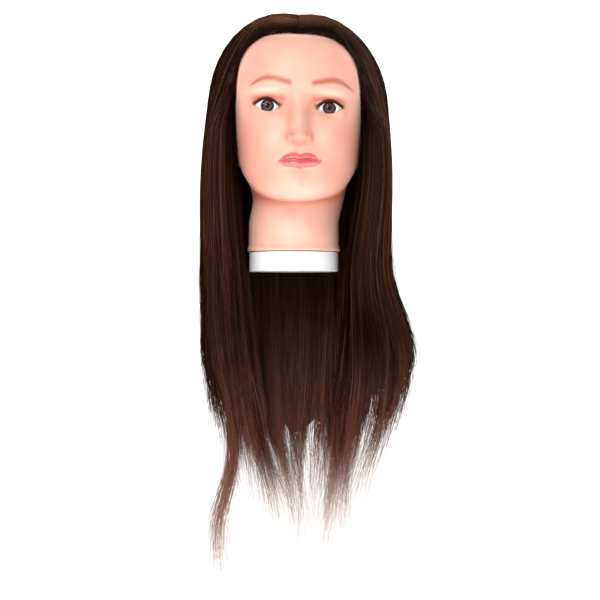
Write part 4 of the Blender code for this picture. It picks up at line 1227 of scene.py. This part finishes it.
def hairline_strands(head, rng, section, count, points=16):
    """Hair along the edge of the face that rises from the skin and joins the fall."""
    sign = section.sign
    f = np.linspace(0, 1, 9)
    paths = []
    for share in rng.uniform(0, 1, count):
        root = hairline_root(rng, sign, share)
        end_azimuth = sign * (1.12 + 0.55 * (1 - share) + rng.uniform(-0.08, 0.08))
        root_p, root_q = on_disk(root)
        if np.hypot(root_p, root_q) * RIGHT_ANGLE < 1.45:
            end_p, end_q = math.sin(end_azimuth), -math.cos(end_azimuth)
            p = hermite(root_p, end_p, sign * 0.12, end_p * 0.8, f)
            q = hermite(root_q, end_q, 0.75 * (1 - 0.5 * share), end_q * 0.8, f)
            crown = crown_surface(head, p, q, 0.12 + 0.6 * smoothstep(0, 0.5, f))
        else:
            crown = settled(root + np.array([[sign * 0.3, 0, 0], [sign * 3.0, 3.0, -6.0]]))
        inward = rng.uniform(0.2, 1.2) if share > 0.55 else rng.uniform(-0.9, 0.3)
        turn = math.atan2(-1.0, -sign * inward)
        lowest = rng.uniform(-30, 60)
        z = np.linspace(min(crown[-1][2] - 22, 165), lowest, 6)
        hang = oval(section.levels, z, np.full(6, turn), np.full(6, rng.uniform(0.8, 0.98)))
        paths.append(np.concatenate([crown, hang]))
    # Their tones are kept dark: painted shade for hair lying in shadow along the face's edge.
    return resample(paths, points), rng.uniform(0.0, 0.28, count)


def face_shadow(points):
    """Painted shadow on the hair: 1 where hair lies close beside the face or above the forehead, 0
    further out and behind, and a darker patch low on the right.
    """
    x, y, z = np.moveaxis(points, -1, 0)
    inner = smooth_through(z, INNER_Z, INNER_X)
    beside = smoothstep(24.0, 3.0, np.abs(x - SHIFT) - inner)
    over_forehead = smoothstep(20.0, 6.0, z - HAIRLINE_Z)
    above = np.where(z > HAIRLINE_Z - HAIRLINE_CORNER, over_forehead, 1.0)
    framing = beside * above * smoothstep(55, 5, y) * smoothstep(-60, 40, z)
    # A darker patch low on the right side, at the front.
    dark_patch = 0.8 * bump(x, z, 80, -68, 24, 34) * smoothstep(60, 30, y)
    return np.clip(framing + dark_patch, 0, 1)


def add_strands(name, head, rng, made, nodes, look, bend, half_width, gap=2.2):
    """One piece of hair from (paths, tones), with its bend record passed to attach."""
    paths, tones = made
    paths = head.clear(paths, gap)
    z = paths[..., 2]
    u = np.linspace(0, 1, paths.shape[1])
    thick = half_width * rng.uniform(0.6, 1.25, (len(paths), 1))
    thick = thick * (0.75 + 0.25 * smoothstep(0, 0.1, u)) * (1 - 0.5 * smoothstep(*THIN_Z, z))
    thick = thick * (1 - 0.5 * smoothstep(0.7, 1.0, u))
    obj = strands(name, paths, thick, look, {
        "tone": tones[:, None],
        "dark": face_shadow(paths),
        # drop: lighter towards the ends, plus a painted highlight on the crown.
        "drop": smoothstep(*LIGHTEN_Z, z) + 0.5 * smoothstep(*SHINE_Z, z),
        "tip": smoothstep(0.5, 1.0, u) * smoothstep(*TIP_Z, z),
    })
    attach(obj, nodes, bend)


# Furrows along a mass: depth, number round it, wander, length of the wander, phase.
FURROWS = ((0.030, 23, 1.5, 60, 0), (0.022, 41, 2.0, 45, 1), (0.030, 9, 1.2, 80, 2))
# Streak coordinates of a mass: fine across the hair, long along it.
STREAKS_ALONG, STREAKS_ROUND_MASS, STREAKS_ROUND_CROWN = 0.004, 12.0, 26.0


def add_mass(head, section, look, bend):
    """The body of a hanging section: a furrowed closed form that the strands lie on."""
    top, floor = section.levels[0, 0], section.mass_floor
    turn, z = np.meshgrid(around(150), np.linspace(top + 6, floor, 60))
    furrow = sum(depth * np.sin(turn * number + wander * np.sin(z / length + phase))
                 for depth, number, wander, length, phase in FURROWS)
    closing = smoothstep(floor, floor + 75, z) ** 0.7
    top_close = smoothstep(top + 6, top - 14, z)
    reach = (0.86 + furrow) * (0.12 + 0.88 * closing) * (0.55 + 0.45 * top_close)
    points = head.clear(oval(section.levels, z, turn, reach), 1.5)
    obj = grid_object(f"{section.body}_mass", points, look, {"drop": smoothstep(*LIGHTEN_Z, z)})
    add_vectors(obj, "streak", turn * STREAKS_ROUND_MASS, z * STREAKS_ALONG, np.zeros_like(z))
    attach(obj, section.nodes, bend)


def crown_rim(theta):
    """The lowest height of the hair's mass: the hairline, then down behind the temple."""
    temple = math.radians(TEMPLE_DEG)
    if theta < temple:
        return HAIRLINE_Z + 0.5 - float(hairline_drop(theta / temple))
    beyond = smoothstep(temple, math.radians(TEMPLE_DEG + 22), theta)
    return HAIRLINE_Z - HAIRLINE_CORNER - 92.0 * beyond**0.5


def add_crown_mass(look):
    """The hair on the head under the loose strands, closed down onto the scalp at the hairline."""
    columns, rows = 240, 60
    azimuths = np.linspace(-math.pi, math.pi, columns, endpoint=False)
    points = np.empty((rows, columns, 3))
    for column, azimuth in enumerate(azimuths):
        theta = abs(azimuth)
        lowest = ring_at(theta, crown_rim(theta))
        t = lowest + (TOP_RING - 0.01 - lowest) * np.linspace(0, 1, rows)
        skin = head_form(np.full(rows, azimuth), t)
        out = skin - CROWN_CENTRE
        out[:, 2] = np.maximum(out[:, 2], 0)
        out /= np.maximum(np.linalg.norm(out, axis=1, keepdims=True), 1e-6)
        z = skin[:, 2]
        depth = hair_depth(theta, z, MASS_LAYER, 0.6)
        furrow = 0.5 * np.sin(azimuth * 60 + 2 * np.sin(z / 30))
        furrow += 0.4 * np.sin(azimuth * 97 + z / 12)
        points[:, column] = skin + out * (depth + furrow * np.clip(depth / 8, 0, 1))[:, None]
    obj = grid_object("crown_hair_mass", settled(points), look, {"drop": np.zeros((rows, columns))})
    across = np.broadcast_to(azimuths * STREAKS_ROUND_CROWN, (rows, columns))
    add_vectors(obj, "streak", across, points[..., 2] * STREAKS_ALONG, np.zeros_like(across))
    attach(obj, ["left_crown_hair", "right_crown_hair", "back_crown_hair"])


def add_tail_lock(head, rng, look, bend):
    """The thin lock that trails below the left side."""
    z = np.linspace(TAIL_Z[0], -362, 22)
    centre_x = smooth_through(-z, -np.array(TAIL_Z), TAIL_X)
    spread = 6.0 * smoothstep(-100, -170, z) + 2.5 * smoothstep(-200, -280, z) + 1.5
    paths = []
    for _ in range(TAIL_STRANDS):
        offset = rng.normal(0, 0.5, 2)
        last = np.searchsorted(-z, 205 + 157 * rng.uniform(0, 1) ** 0.55)
        x = centre_x + spread * offset[0] + rng.normal(0, 4.5) * smoothstep(-200, -356, z)
        wave = np.sin(z / rng.uniform(24, 40) + rng.uniform(0, 6))
        x = x + 1.6 * wave * smoothstep(-190, -260, z)
        paths.append(np.stack([x, 10 + 0.7 * spread * offset[1], z], -1)[:last])
    made = resample(paths, 24), rng.uniform(0.2, 1, TAIL_STRANDS)
    add_strands("tail_lock_strands", head, rng, made, ["left_tail_lock"], look, bend, 0.3)


def make_hair(skin, joints):
    head = Head(skin)
    rng = np.random.default_rng(SEED)
    strand_look, mass_look = strand_material(), mass_material()
    joint_of = {joint["child"]: joint for joint in joints}
    add_crown_mass(mass_look)
    for section in SECTIONS:
        body = section.body
        bend = bend_at(joint_of[body], SECTION_BEND)
        add_mass(head, section, mass_look, bend)
        locks = Locks(rng, section.levels, section.lock_count)
        for part, kind, count in section.parts:
            made = panel_strands(head, rng, section, locks, count, kind)
            add_strands(f"{body}_{part}", head, rng, made, section.nodes, strand_look, bend,
                        KINDS[kind].half_width)
        if section.sign:
            made = hairline_strands(head, rng, section, HAIRLINE_COUNT)
            add_strands(f"{body}line_strands", head, rng, made, section.nodes, strand_look, bend,
                        HAIRLINE_HALF_WIDTH, gap=0.5)
    add_tail_lock(head, rng, strand_look, bend_at(joint_of["tail_lock"], TAIL_BEND))


# ---- Studio ------------------------------------------------------

WHITE = (1, 1, 1, 1)
# Lights in metres and watts: name, place, height it aims at over the origin, power, size.
LIGHTS = (
    ("key", (-0.5, -1.45, 0.75), 0.1, 14.8, 0.8),
    ("fill", (1.1, -1.3, 0.0), 0.0, 3, 1.2),
    ("rim_left", (-1.0, 0.5, 0.9), 0.1, 3, 0.6),
    ("rim_right", (1.0, 0.5, 0.9), 0.1, 3, 0.6),
)
WORLD_STRENGTH = 0.35
BACKDROP_GLOW = 0.75
BACKDROP_HALF_WIDTH, BACKDROP_HEIGHT = 9000.0, 9000.0
FLOOR_Z, FLOOR_FRONT, BACK_Y, FLOOR_BEND = -620.0, -6000.0, 6000.0, 1500.0


def area_light(name, place, aim_z, power, size):
    data = bpy.data.lights.new(name, "AREA")
    data.energy = power
    data.size = size
    light = bpy.data.objects.new(name, data)
    bpy.context.scene.collection.objects.link(light)
    light.location = place
    towards = Vector((0, 0, aim_z)) - Vector(place)
    light.rotation_euler = towards.to_track_quat("-Z", "Y").to_euler()


def make_camera():
    data = bpy.data.cameras.new("camera")
    data.lens = LENS
    data.sensor_width = SENSOR
    camera = bpy.data.objects.new("camera", data)
    bpy.context.scene.collection.objects.link(camera)
    camera.location = (CAMERA_X * MM, -CAMERA_DISTANCE * MM, CAMERA_Z * MM)
    camera.rotation_euler = (RIGHT_ANGLE, 0, 0)
    bpy.context.scene.camera = camera


def make_world():
    world = bpy.data.worlds.new("studio")
    world.use_nodes = True
    background = world.node_tree.nodes["Background"]
    background.inputs["Color"].default_value = WHITE
    background.inputs["Strength"].default_value = WORLD_STRENGTH
    bpy.context.scene.world = world
    bpy.context.scene.view_settings.view_transform = "Standard"


def make_backdrop():
    """A white sweep: a floor that bends up into a wall."""
    n = Nodes("backdrop")
    n.set(Base_Color=(0.9, 0.9, 0.9, 1), Roughness=1.0, Specular_IOR_Level=0.0,
          Emission_Color=WHITE, Emission_Strength=BACKDROP_GLOW)
    sweep = [(FLOOR_FRONT, FLOOR_Z)]
    sweep += [(BACK_Y - FLOOR_BEND * (1 - math.sin(a)), FLOOR_Z + FLOOR_BEND * (1 - math.cos(a)))
              for a in np.linspace(0, RIGHT_ANGLE, 12)]
    sweep += [(BACK_Y, BACKDROP_HEIGHT)]
    points = [(x, y, z) for y, z in sweep for x in (-BACKDROP_HALF_WIDTH, BACKDROP_HALF_WIDTH)]
    mesh_object("backdrop", points, grid_faces(len(sweep), 2), n.material)


def main():
    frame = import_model()
    make_camera()
    for light in LIGHTS:
        area_light(*light)
    make_world()
    make_backdrop()
    for node, look in (("pin_socket", socket_plastic_material()), ("foam_core", foam_material()),
                       ("scalp_liner", liner_material())):
        frame["nodes"][node].material_slots[0].material = look
    skin = make_skin(skin_material())
    make_eyes(eye_white_material(), iris_material(), cornea_material())
    make_lashes(lash_material())
    make_base(base_plastic_material())
    make_hair(skin, frame["joints"])


main()
